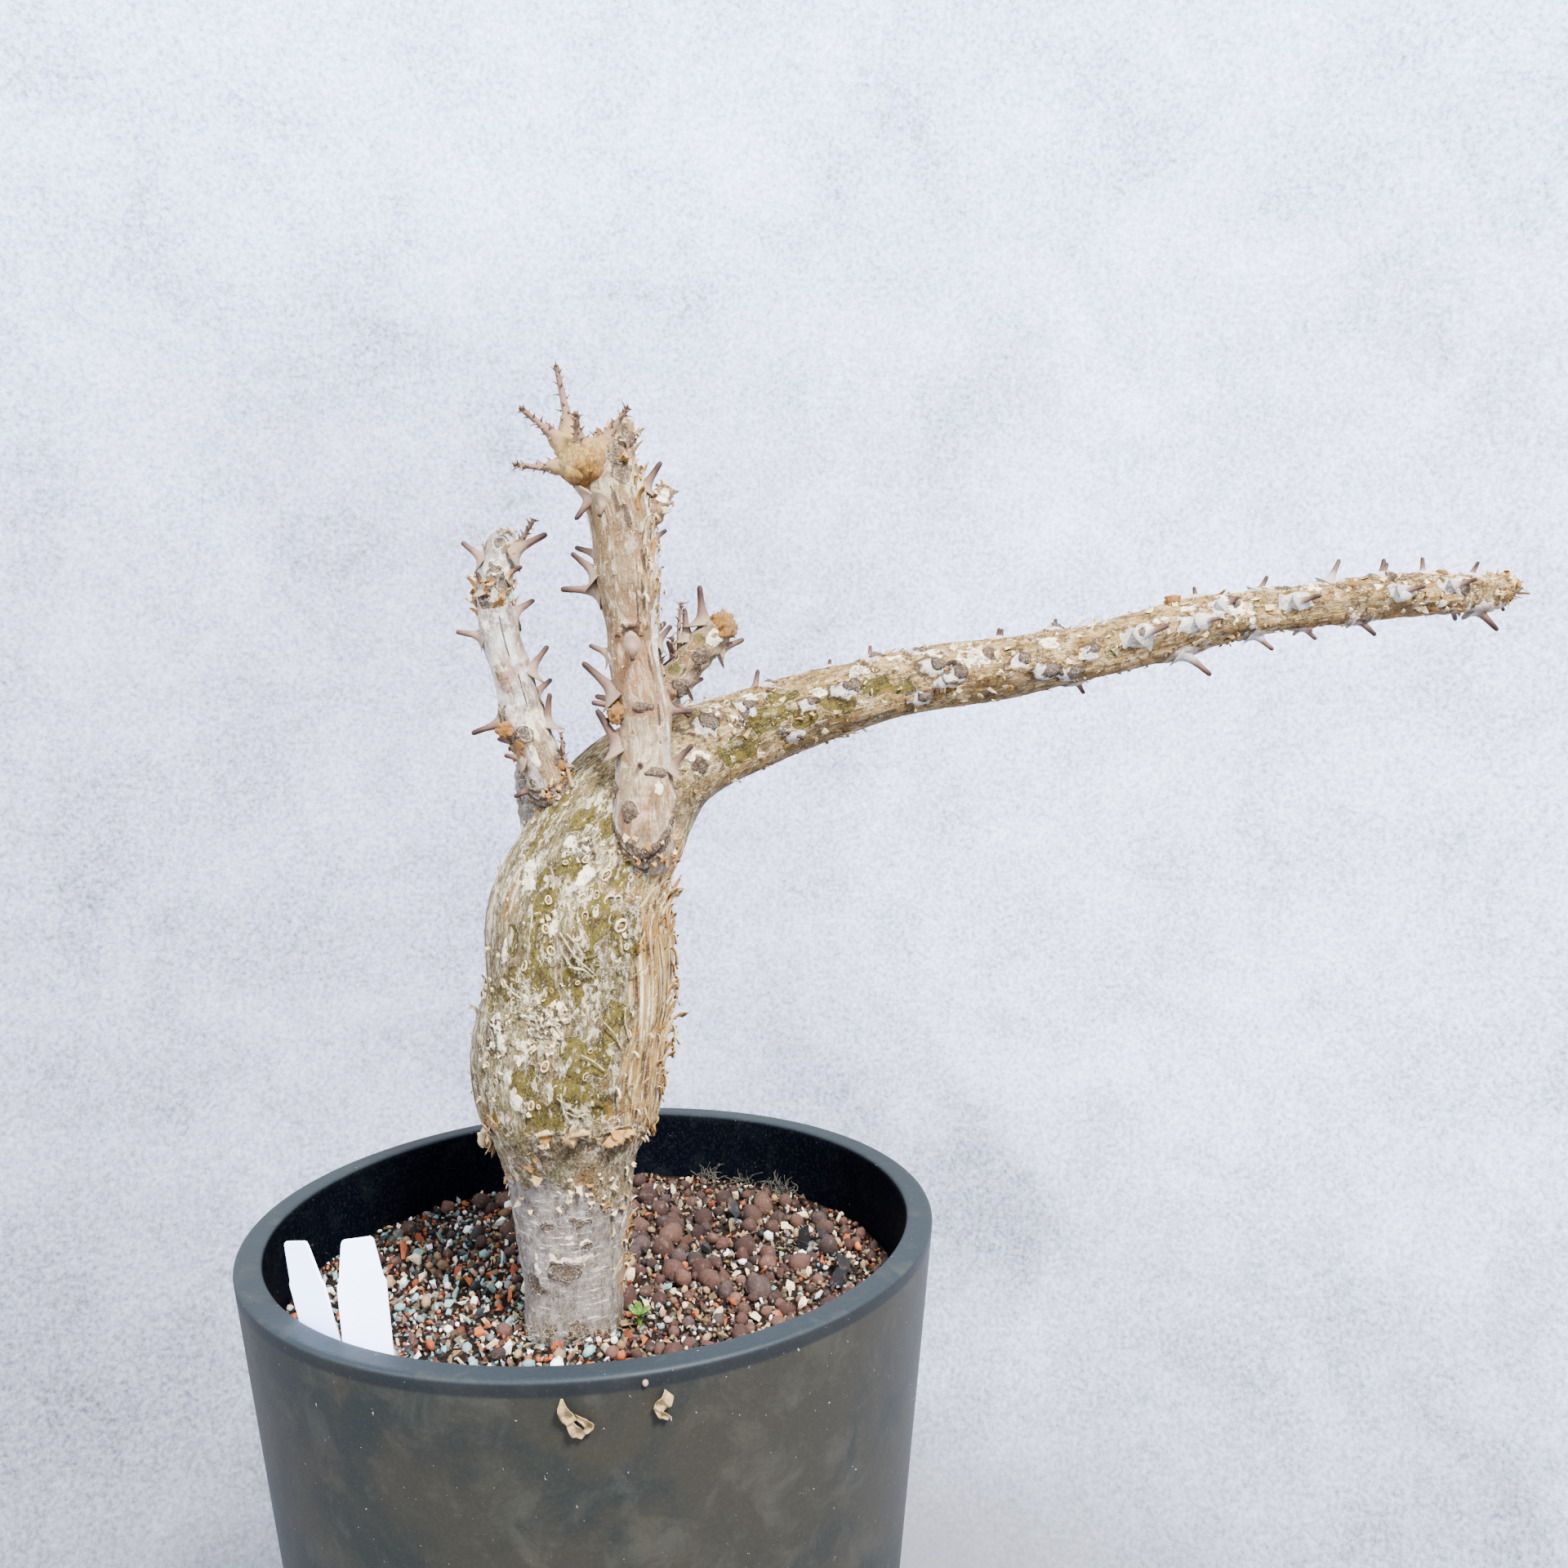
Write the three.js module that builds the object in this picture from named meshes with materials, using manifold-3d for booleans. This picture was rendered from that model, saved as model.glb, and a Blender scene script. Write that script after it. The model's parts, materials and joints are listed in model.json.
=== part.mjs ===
// A potted sesamothamnus busseanus: a swollen trunk that bends into one long branch, two
// upright stems, a side shoot and a woolly bud cluster, with short spines all over. It stands
// in loose grit in a thick-walled round pot, beside two blank labels and a tiny seedling.
// Millimetres, +Z up. The pot's axis is the Z axis and its underside is at z = 0. The plant's
// front is its -Y side, and the long branch reaches towards +X.

import * as THREE from "three";
import { mergeVertices } from "three/addons/utils/BufferGeometryUtils.js";
import Module from "manifold-3d";

const wasm = await Module();
wasm.setup();

// Driving dimensions
const GAP = 0.3;
const SEED = 7;
const POT = { rimRadius: 110, height: 200, wall: 8.6, lean: 0.108, floor: 9, edge: 1.5, sides: 64 };
const DRAIN = { count: 4, radius: 5, ring: 45, sides: 12 };
const GRIT = { level: 172.5, wallLevel: 175.5, grains: 210, smallest: 4.6, largest: 7.2, sink: 0.3 };
const BALL_SHARE = { left: 0.1, right: 0.4 };
const BED = { sides: 24, rings: 3 };
const LABEL = { width: 12.9, topWidth: 8.6, headWidth: 11.6, head: 12, length: 62, thickness: 0.8 };

// The trunk and the long branch are one line of [x, y, z, radius], parted at BRANCH_START
const LEADER = [
  [-8, -20, 148, 13.6],
  [-8, -20, 158, 15],
  [-7.6, -20, 170, 15.3],
  [-7, -20, 183, 15.7],
  [-7, -20, 196, 16.5],
  [-6.7, -20, 209, 17.7],
  [-6.7, -20, 220, 19.4],
  [-6.8, -20, 230, 22.8],
  [-6.8, -20, 240, 27],
  [-6.5, -20.5, 252, 29],
  [-5.2, -21, 264, 29.3],
  [-2.8, -21, 277, 28.3],
  [-2.1, -21, 289, 28.2],
  [-1.8, -21, 299, 27.6],
  [0.3, -20, 309, 26],
  [4.2, -19, 318.5, 23.8],
  [10, -17, 328, 22.4],
  [18, -14, 337.5, 20.2],
  [28.5, -10, 345.5, 17.2],
  [40, -6, 350.5, 14.6],
  [55, -2, 355.5, 12.9],
  [72, 0, 360.8, 11.7],
  [88, 0, 364.8, 11.2],
  [105, 0, 369.2, 11],
  [122, 0, 371.8, 10.4],
  [139, 0, 373.3, 9.7],
  [156, 0, 376, 9.5],
  [173, 0, 379, 9.3],
  [190, 0, 382.8, 9],
  [208, 0, 387, 8.7],
  [226, 0, 390, 7.8],
  [244, 0, 392.3, 7.5],
  [262, 0, 394.3, 7.4],
  [281, 0, 395.8, 7.2],
  [299, 0, 396.4, 6.9],
  [310, 0, 396.8, 6.4],
  [319, 0, 397.4, 5.5],
  [326, 0, 398.4, 4.4],
  [330, 0, 399, 2.6],
];
const BRANCH_START = 19;

const CENTRE_STEM = [
  [18.5, -27, 316, 7],
  [18.4, -33, 322, 9.2],
  [18.4, -37, 329.4, 9.4],
  [18.5, -38, 336.6, 8.8],
  [18.6, -38, 344, 8.4],
  [19.5, -38, 356, 7.5],
  [19.6, -38, 363, 7.4],
  [18.2, -38, 370, 7.6],
  [16.7, -38, 380, 7.4],
  [16.5, -38, 389, 7.9],
  [15.9, -38, 399, 9.2],
  [15.2, -37.5, 408, 9.3],
  [14.4, -37, 418, 9.4],
  [12.4, -36.5, 427, 9],
  [12, -36, 434, 8],
  [13.8, -36, 440, 5.6],
  [16, -36, 445, 3.6],
  [17.2, -36, 447.5, 1.6],
];

const LEFT_STEM = [
  [-2, -20, 326, 5],
  [-5, -22.5, 332, 6],
  [-7.8, -24, 338, 6.4],
  [-10.2, -24, 345, 6.3],
  [-12.4, -24, 351.5, 6.4],
  [-14.7, -24, 357, 6.6],
  [-16.3, -24, 362, 6.4],
  [-17.2, -24, 367, 6],
  [-19, -24, 375, 5.9],
  [-21, -24, 382, 5.8],
  [-22.4, -24, 389, 5.8],
  [-23.3, -24, 396, 5.5],
  [-23.1, -24, 401, 5.3],
  [-22.3, -24, 406, 4.8],
  [-21.4, -24, 411, 4.6],
  [-19.6, -24, 415, 3.6],
  [-18.6, -24, 417, 1.6],
];

const SIDE_SHOOT = [
  [24, -36, 366.8, 3.4],
  [26.5, -35.2, 369, 4.3],
  [29, -34.5, 371.7, 4.7],
  [32, -34, 375.2, 5],
  [35, -34, 379, 5.2],
  [38, -34, 382.3, 5.2],
  [40.6, -34, 385, 4.9],
  [42.6, -34, 387.2, 4],
  [43.8, -34, 388.6, 2.2],
];

// The old grey stub on the trunk's left shoulder, behind the left stem
const SHOULDER_STUB = [
  [-8, -14, 318, 5],
  [-14, -12, 328, 4.6],
  [-15.5, -11, 336, 4],
  [-16.4, -11, 343, 3.7],
  [-17, -11, 347.5, 2.4],
];

// Spines: [height, or reach along X on the long branch; degrees round the stem; length; lean].
// Round a stem, 0 is its right side seen from the front, 90 the front, 180 the left, 270 the
// back. Lean is in degrees from square to the stem, towards its tip.
const BRANCH_SPINES = [
  [66, 60, 3, 20], [84, 178, 3.2, 20], [98, 175, 4, 15], [118, 80, 4, 40], [140, 182, 4, 20],
  [160, 180, 4, 20], [165, 0, 4.5, 20], [186, 100, 9, 50], [201, 18, 11.5, 35], [207, 95, 6, 50],
  [211, 180, 4.2, 0], [217, 125, 5, 45], [228, 20, 8, 35], [233, 178, 5.5, 35], [243, 105, 7, 50],
  [247, 5, 6, 40], [258, 172, 8, 32], [267, 15, 8, 38], [278, 180, 5, 30], [281, 100, 7, 50],
  [294, 182, 6, 0], [302, 112, 6.5, 45], [311, 165, 5, 25], [313, 5, 11, 42], [322, 5, 3, 20],
];
const CENTRE_SPINES = [
  [347, 100, 3, 10], [346, 15, 9, 50], [351, 172, 13, 55], [361, 178, 6, -5], [362.5, 8, 6, -10],
  [366, 178, 8, 20], [369, 174, 13, 55], [381, 95, 7, -25], [380, 178, 6, 30], [382, 6, 6.4, 45],
  [399, 184, 10.5, 5], [403, 176, 9, 45], [412, 8, 4, 30], [425, 4, 9, 42],
];
const LEFT_SPINES = [
  [339, 20, 3, 20], [342, 172, 5, -5], [346, 20, 6, 60], [351, 150, 5, 30], [357, 15, 9, 60],
  [362, 178, 9, -5], [374, 12, 8.5, 40], [387, 176, 7, 20], [399, 130, 5, 60], [405, 30, 4, 30],
  [408, 178, 7.5, 30], [412, 20, 11, 45],
];
const SHOOT_SPINES = [
  [368.5, -5, 6, 0], [372, -8, 5, 70], [380, 178, 9, 45], [383, -12, 8, 65], [385, 180, 11, 42],
];
const BACK_ARC = [205, 335];
const BACK_THORN = { length: [5, 10], lean: [20, 45] };
const THORN = { root: 0.35, neck: 0.25, neckGirth: 0.5, tip: 0.3, foot: 1.1, footPerLength: 0.14 };
const CURL = { lean: 55, foot: 2.2 };
const BUMP = { trunk: 0.5, stem: 0.25 };

// Small helpers
const radians = THREE.MathUtils.degToRad;

function seeded(seed) {
  let state = seed;
  return () => {
    state = (state * 1664525 + 1013904223) % 4294967296;
    return state / 4294967296;
  };
}

function toSolid(geometry) {
  const bare = geometry.clone();
  bare.deleteAttribute("normal");
  bare.deleteAttribute("uv");
  const merged = mergeVertices(bare, 1e-4);
  const index = merged.index.array;
  const faces = [];
  for (let i = 0; i < index.length; i += 3) {
    const [a, b, c] = index.slice(i, i + 3);
    if (a !== b && b !== c && c !== a) faces.push(a, b, c);
  }
  const vertProperties = new Float32Array(merged.attributes.position.array);
  return new wasm.Manifold(new wasm.Mesh({ numProp: 3, vertProperties, triVerts: Uint32Array.from(faces) }));
}

function toGeometry(solid) {
  const { vertProperties, triVerts } = solid.getMesh();
  const geometry = new THREE.BufferGeometry();
  geometry.setAttribute("position", new THREE.BufferAttribute(vertProperties, 3));
  geometry.setIndex(new THREE.BufferAttribute(triVerts, 1));
  geometry.computeVertexNormals();
  return geometry;
}

const joined = (solids) => solids.reduce((whole, solid) => whole.add(solid));

// A line of [x, y, z, radius] points, with the directions across it at any share along it
class Limb {
  constructor(points) {
    this.line = new THREE.CatmullRomCurve3(points.map(([x, y, z]) => new THREE.Vector3(x, y, z)));
    this.line.curveType = "catmullrom";
    this.girth = new THREE.CatmullRomCurve3(points.map((point) => new THREE.Vector3(point[3], 0, 0)));
    this.girth.curveType = "catmullrom";
    const chord = this.line.getPoint(1).sub(this.line.getPoint(0)).normalize();
    this.facing = Math.abs(chord.y) > 0.8 ? new THREE.Vector3(0, 0, 1) : new THREE.Vector3(0, -1, 0);
  }

  at(share) {
    const centre = this.line.getPoint(share);
    const along = this.line.getTangent(share);
    const front = this.facing.clone().addScaledVector(along, -this.facing.dot(along)).normalize();
    const side = new THREE.Vector3().crossVectors(along, front);
    return { centre, along, front, side, radius: this.girth.getPoint(share).x };
  }

  // The share at which the line reaches a value of x or z, on a line that only goes up there
  shareWhere(axis, value) {
    let low = 0;
    let high = 1;
    for (let i = 0; i < 30; i += 1) {
      const middle = (low + high) / 2;
      if (this.line.getPoint(middle)[axis] < value) low = middle;
      else high = middle;
    }
    return low;
  }

  // A closed tube from one share to another, with swelling(share, angle) as its relief
  tube({ from = 0, to = 1, sides = 12, steps = 12, extra = 0, swelling = () => 0 }) {
    const geometry = new THREE.CylinderGeometry(1, 1, 1, sides, steps);
    const position = geometry.attributes.position;
    const point = new THREE.Vector3();
    for (let i = 0; i < position.count; i += 1) {
      const share = THREE.MathUtils.lerp(from, to, position.getY(i) + 0.5);
      const across = Math.hypot(position.getX(i), position.getZ(i));
      const angle = Math.atan2(position.getZ(i), position.getX(i));
      const { centre, front, side, radius } = this.at(share);
      const reach = across * (Math.max(radius, 0.1) + swelling(share, angle) + extra);
      point.copy(centre).addScaledVector(side, reach * Math.cos(angle));
      point.addScaledVector(front, reach * Math.sin(angle));
      position.setXYZ(i, point.x, point.y, point.z);
    }
    return toSolid(geometry);
  }
}

// A thorn on a limb: a broad foot sunk into the wood, and a slim tip
function thornLimb(limb, share, degrees, length, lean, foot) {
  const { centre, along, front, side, radius } = limb.at(share);
  const out = side.clone().multiplyScalar(Math.cos(radians(degrees)));
  out.addScaledVector(front, Math.sin(radians(degrees)));
  const aim = out.clone().multiplyScalar(Math.cos(radians(lean)));
  aim.addScaledVector(along, Math.sin(radians(lean)));
  const skin = centre.clone().addScaledVector(out, radius);
  const root = centre.clone().addScaledVector(out, radius * THORN.root);
  const neck = skin.clone().addScaledVector(aim, length * THORN.neck);
  const tip = skin.clone().addScaledVector(aim, length);
  return new Limb([
    [...root.toArray(), foot],
    [...neck.toArray(), foot * THORN.neckGirth],
    [...tip.toArray(), THORN.tip],
  ]);
}

const thorn = (limb, share, degrees, length, lean, foot, shape = { sides: 4, steps: 2 }) =>
  thornLimb(limb, share, degrees, length, lean, foot).tube(shape);

const footFor = (length) => THORN.foot + THORN.footPerLength * length;

// The thorns of a list, and seeded ones over the limb's back
function thorns(limb, axis, list, { backFrom, backTo, backCount, seed }) {
  const solids = list.map(([place, degrees, length, lean]) =>
    thorn(limb, limb.shareWhere(axis, place), degrees, length, lean, footFor(length)));
  const random = seeded(seed);
  for (let i = 0; i < backCount; i += 1) {
    const place = backFrom + ((backTo - backFrom) * (i + 0.6 * random())) / backCount;
    const degrees = BACK_ARC[0] + (BACK_ARC[1] - BACK_ARC[0]) * ((i * 0.382 + 0.15 * random()) % 1);
    const length = THREE.MathUtils.lerp(...BACK_THORN.length, random());
    const lean = THREE.MathUtils.lerp(...BACK_THORN.lean, random());
    solids.push(thorn(limb, limb.shareWhere(axis, place), degrees, length, lean, footFor(length)));
  }
  return solids;
}

// A stone, squashed and turned at random: a rounded clay ball, or else an angular chip
function pebble(random, centre, radius, rounded) {
  const Shape = rounded ? THREE.IcosahedronGeometry : THREE.OctahedronGeometry;
  const geometry = new Shape(rounded ? radius : 1.15 * radius, 0);
  geometry.scale(0.85 + 0.4 * random(), 0.85 + 0.3 * random(), 0.8 + 0.25 * random());
  geometry.rotateX(Math.PI * random());
  geometry.rotateZ(Math.PI * random());
  geometry.translate(...centre.toArray());
  return toSolid(geometry);
}

// Pot
const innerRadius = (height) => POT.rimRadius - POT.wall - POT.lean * (POT.height - height);
const outerRadius = (height) => POT.rimRadius - POT.lean * (POT.height - height);

function potSolid() {
  const { height, edge, floor } = POT;
  const profile = [
    [0, 0],
    [outerRadius(0) - edge, 0],
    [outerRadius(edge), edge],
    [outerRadius(height - edge), height - edge],
    [outerRadius(height) - edge * 0.3, height - edge * 0.3],
    [outerRadius(height) - edge, height],
    [innerRadius(height) + edge, height],
    [innerRadius(height) + edge * 0.3, height - edge * 0.3],
    [innerRadius(height - edge), height - edge],
    [innerRadius(floor), floor],
    [0, floor],
  ];
  const points = profile.map(([x, y]) => new THREE.Vector2(x, y));
  let solid = toSolid(new THREE.LatheGeometry(points, POT.sides).rotateX(Math.PI / 2));
  for (let i = 0; i < DRAIN.count; i += 1) {
    const turn = ((i + 0.5) / DRAIN.count) * 2 * Math.PI;
    const hole = new THREE.CylinderGeometry(DRAIN.radius, DRAIN.radius, 3 * floor, DRAIN.sides);
    hole.rotateX(Math.PI / 2);
    hole.translate(DRAIN.ring * Math.cos(turn), DRAIN.ring * Math.sin(turn), floor / 2);
    solid = solid.subtract(toSolid(hole));
  }
  return solid;
}

// Labels: flat plates with a narrower head above two small shoulder notches
function labelPlate(grow) {
  const { width, topWidth, headWidth, head, length, thickness } = LABEL;
  const half = width / 2 + grow;
  const outline = new THREE.Shape([
    new THREE.Vector2(-half, -length + head),
    new THREE.Vector2(half, -length + head),
    new THREE.Vector2(half, 0),
    new THREE.Vector2(headWidth / 2 + grow, 1),
    new THREE.Vector2(topWidth / 2 + grow, head - 1),
    new THREE.Vector2(topWidth / 2 - 1 + grow, head + grow),
    new THREE.Vector2(-topWidth / 2 + 1 - grow, head + grow),
    new THREE.Vector2(-topWidth / 2 - grow, head - 1),
    new THREE.Vector2(-headWidth / 2 - grow, 1),
    new THREE.Vector2(-half, 0),
  ]);
  const depth = thickness + 2 * grow;
  const plate = new THREE.ExtrudeGeometry(outline, { depth, bevelEnabled: false });
  return plate.translate(0, 0, -depth / 2).rotateX(Math.PI / 2);
}

// Each label's shoulder point, its turn about the vertical and its lean to the left
const LABEL_PLACES = {
  label_left: { shoulder: [-78.2, -62, 210], turn: -34, lean: -11.5 },
  label_right: { shoulder: [-62.6, -69, 212], turn: 0, lean: -3 },
};

function placedLabel({ shoulder, turn, lean }, grow = 0) {
  const plate = labelPlate(grow);
  plate.rotateZ(radians(turn));
  plate.rotateY(radians(lean));
  plate.translate(...shoulder);
  return toSolid(plate);
}

// Trunk, stems and shoots
const leader = new Limb(LEADER);
const lastLeader = LEADER.length - 1;
const branchShare = BRANCH_START / lastLeader;
const branchGap = GAP / 12 / lastLeader;
const footGap = GAP / 10 / lastLeader;
const bumps = (share, angle) => {
  const fade = Math.min(1, 40 * share * (1 - share));
  return BUMP.trunk * fade * Math.sin(4 * angle + 60 * share);
};
const trunkTube = (extra, from = 0) =>
  leader.tube({ from, to: branchShare, sides: 18, steps: 22, extra, swelling: bumps });

// Curled ends of bark that stand off the trunk: [height, degrees round it, length]
const BARK_CURLS = [
  [236, 100, 4], [237, 70, 4], [238, 40, 3.5], [246, -4, 3], [255, 4, 3.5], [264, -8, 3],
  [274, 2, 3.5], [284, -6, 3], [291, 6, 4], [301, -4, 3], [310, 0, 3.5], [322, 8, 4], [276, 185, 3],
];

function trunkSolid() {
  const curls = BARK_CURLS.map(([height, degrees, length]) => {
    const share = leader.shareWhere("z", height);
    return thorn(leader, share, degrees, length, CURL.lean, CURL.foot);
  });
  const stub = new Limb(SHOULDER_STUB).tube({ sides: 9, steps: 8 });
  return joined([trunkTube(0, footGap), stub, ...curls]);
}

function branchSolid() {
  const wood = leader.tube({ from: branchShare + branchGap, sides: 11, steps: 34, swelling: bumps });
  const back = { backFrom: 60, backTo: 322, backCount: 16, seed: SEED };
  return joined([wood, ...thorns(leader, "x", BRANCH_SPINES, back)]);
}

const centreStem = new Limb(CENTRE_STEM);
const stemBumps = (share, angle) => BUMP.stem * Math.sin(3 * angle + 40 * share);
const centreTube = (extra) => centreStem.tube({ sides: 12, steps: 24, extra, swelling: stemBumps });

function centreSolid() {
  const back = { backFrom: 362, backTo: 432, backCount: 8, seed: SEED + 1 };
  const knob = new Limb([[18, -37, 414, 3], [23, -37, 420, 3.6], [26.5, -37, 425, 3], [28.2, -37, 428, 1.8]]);
  const parts = [centreTube(0), knob.tube({ sides: 7, steps: 4 })];
  return joined([...parts, ...thorns(centreStem, "z", CENTRE_SPINES, back)]).subtract(trunkTube(GAP));
}

function leftSolid() {
  const stem = new Limb(LEFT_STEM);
  const wood = stem.tube({ sides: 11, steps: 20, swelling: stemBumps });
  const back = { backFrom: 352, backTo: 412, backCount: 8, seed: SEED + 2 };
  return joined([wood, ...thorns(stem, "z", LEFT_SPINES, back)]).subtract(trunkTube(GAP));
}

function shootSolid() {
  const shoot = new Limb(SIDE_SHOOT);
  const wood = shoot.tube({ sides: 10, steps: 10 });
  const back = { backFrom: 374, backTo: 386, backCount: 3, seed: SEED + 3 };
  const solids = [wood, ...thorns(shoot, "z", SHOOT_SPINES, back)];
  return joined(solids).subtract(centreTube(GAP));
}

// Bud cluster: a woolly lump with sprigs, each a root and a tip, and prickles up every sprig
const BUD = { centre: [4.2, -39, 434.5], size: [9.4, 8.6, 8.2] };
const SPRIGS = [
  { root: [-0.5, -38.5, 440], tip: [-4.4, -39, 463.5], foot: 2.4 },
  { root: [-1.5, -40, 438], tip: [-15.2, -44, 451], foot: 2.2 },
  { root: [-1.5, -39, 433], tip: [-17.5, -42, 434.5], foot: 2.1 },
  { root: [4, -43, 436], tip: [2.2, -50, 449], foot: 2.3 },
  { root: [9, -40, 439], tip: [16.5, -43, 450.5], foot: 2.1 },
  { root: [1, -34, 438], tip: [-6, -24, 448], foot: 2.2 },
  { root: [7, -33, 437], tip: [8, -22, 446], foot: 2.2 },
];
const PRICKLES = [[0.42, 0], [0.52, 180], [0.64, 60], [0.74, 240], [0.86, 10], [0.9, 170]];

function budSolid() {
  const lump = new THREE.IcosahedronGeometry(1, 2);
  const position = lump.attributes.position;
  for (let i = 0; i < position.count; i += 1) {
    const [x, y, z] = [position.getX(i), position.getY(i), position.getZ(i)];
    const swell = 1 + 0.06 * Math.sin(5 * x + 2) * Math.cos(6 * z) + 0.05 * Math.sin(7 * y);
    position.setXYZ(i, x * swell, y * swell, z * swell);
  }
  lump.scale(...BUD.size);
  lump.translate(...BUD.centre);
  const solids = [toSolid(lump)];
  for (const { root, tip, foot } of SPRIGS) {
    const [low, high] = [new THREE.Vector3(...root), new THREE.Vector3(...tip)];
    const along = (share) => low.clone().lerp(high, share).toArray();
    const sprig = new Limb([
      [...along(0), foot],
      [...along(0.3), foot * 0.62],
      [...along(0.65), 0.9],
      [...along(1), 0.6],
    ]);
    solids.push(sprig.tube({ sides: 5, steps: 4 }));
    for (const [share, degrees] of PRICKLES) {
      solids.push(thorn(sprig, share, degrees, 2, 25, 0.6, { sides: 3, steps: 1 }));
    }
  }
  return joined(solids).subtract(centreTube(GAP));
}

// Seedling: a short stalk and four fat leaves
const SEEDLING = { place: [12.6, -27.6], base: 168, top: 177.2, stalk: 0.8, leaf: [2.2, 1.2, 0.6] };

function seedlingStalk(extra) {
  const { place, base, top, stalk } = SEEDLING;
  const geometry = new THREE.CylinderGeometry(stalk + extra, stalk + extra, top - base + 2 * extra, 8);
  return toSolid(geometry.rotateX(Math.PI / 2).translate(...place, (base + top) / 2));
}

function seedlingSolid() {
  const solids = [seedlingStalk(0)];
  for (let i = 0; i < 4; i += 1) {
    const leaf = new THREE.SphereGeometry(1, 6, 4);
    leaf.scale(...SEEDLING.leaf);
    leaf.translate(SEEDLING.leaf[0] * 0.8, 0, 0);
    leaf.rotateY(-0.5);
    leaf.rotateZ((i / 4) * 2 * Math.PI + 0.4);
    leaf.translate(...SEEDLING.place, SEEDLING.top - 0.6);
    solids.push(toSolid(leaf));
  }
  return joined(solids);
}

// Grit: a bed with rounded grains over its whole top, larger than life, and holes for what it holds
function gritLevel(x, y) {
  const share = Math.hypot(x, y) / innerRadius(GRIT.level);
  return THREE.MathUtils.lerp(GRIT.level, GRIT.wallLevel, share * share);
}

function grainPlaces() {
  const random = seeded(SEED + 4);
  const reach = innerRadius(GRIT.level) - 1;
  const [footX, footY, , footRadius] = LEADER[2];
  const placed = [];
  for (let tries = 0; tries < 9000 && placed.length < GRIT.grains; tries += 1) {
    const radius = THREE.MathUtils.lerp(GRIT.smallest, GRIT.largest, random() ** 1.5);
    const [x, y] = [(2 * random() - 1) * reach, (2 * random() - 1) * reach];
    const inside = Math.hypot(x, y) < reach - 0.7 * radius;
    const offFoot = Math.hypot(x - footX, y - footY) > footRadius + 0.9 * radius;
    const offSeedling = Math.hypot(x - SEEDLING.place[0], y - SEEDLING.place[1]) > radius + 2.6;
    const apart = placed.every((other) => {
      const between = Math.hypot(x - other.x, y - other.y);
      return between > 0.8 * (radius + other.radius);
    });
    if (inside && offFoot && offSeedling && apart) placed.push({ x, y, radius });
  }
  return placed;
}

function gritSolid() {
  const { sides, rings } = BED;
  const outer = innerRadius(GRIT.level) + 3;
  const profile = [new THREE.Vector2(0, POT.floor + GAP), new THREE.Vector2(outer, POT.floor + GAP)];
  for (let i = rings; i >= 0; i -= 1) {
    const across = (outer * i) / rings;
    profile.push(new THREE.Vector2(across, gritLevel(across, 0)));
  }
  const bed = toSolid(new THREE.LatheGeometry(profile, sides).rotateX(Math.PI / 2));
  const random = seeded(SEED + 5);
  const grains = grainPlaces().map(({ x, y, radius }) => {
    const centre = new THREE.Vector3(x, y, gritLevel(x, y) - GRIT.sink * radius);
    return pebble(random, centre, radius, random() < BALL_SHARE[x < 0 ? "left" : "right"]);
  });
  const inside = new THREE.LatheGeometry([
    new THREE.Vector2(0, POT.floor + GAP),
    new THREE.Vector2(innerRadius(POT.floor) - 2 * GAP, POT.floor + GAP),
    new THREE.Vector2(innerRadius(POT.height) - 2 * GAP, POT.height),
    new THREE.Vector2(0, POT.height),
  ], POT.sides);
  let solid = joined([bed, ...grains]).intersect(toSolid(inside.rotateX(Math.PI / 2)));
  solid = solid.subtract(trunkTube(GAP)).subtract(seedlingStalk(GAP));
  for (const place of Object.values(LABEL_PLACES)) solid = solid.subtract(placedLabel(place, GAP));
  return solid;
}

// The model
const FINISHES = {
  pot: { color: 0x3b3f3f, roughness: 0.75 },
  substrate: { color: 0x8a6152, roughness: 0.9 },
  trunk: { color: 0xb8b29c, roughness: 0.85 },
  long_branch: { color: 0xc4b08c, roughness: 0.85 },
  centre_stem: { color: 0xd3c4ad, roughness: 0.7 },
  left_stem: { color: 0xcabfae, roughness: 0.7 },
  side_shoot: { color: 0xb39c78, roughness: 0.75 },
  bud_cluster: { color: 0xd0a860, roughness: 0.95 },
  label_left: { color: 0xf0f4fa, roughness: 0.35 },
  label_right: { color: 0xf0f4fa, roughness: 0.35 },
  seedling: { color: 0x5f8f34, roughness: 0.5 },
};

const solids = {
  pot: potSolid(),
  substrate: gritSolid(),
  trunk: trunkSolid(),
  long_branch: branchSolid(),
  centre_stem: centreSolid(),
  left_stem: leftSolid(),
  side_shoot: shootSolid(),
  bud_cluster: budSolid(),
  label_left: placedLabel(LABEL_PLACES.label_left),
  label_right: placedLabel(LABEL_PLACES.label_right),
  seedling: seedlingSolid(),
};

const group = new THREE.Group();
for (const [name, solid] of Object.entries(solids)) {
  const material = new THREE.MeshStandardMaterial({ metalness: 0, ...FINISHES[name] });
  const mesh = new THREE.Mesh(toGeometry(solid), material);
  mesh.name = name;
  group.add(mesh);
}

export default group;
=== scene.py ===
import json
import math
import bmesh
import bpy
import numpy as np
from mathutils import Matrix, Vector, noise as bumpyNoise

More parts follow.
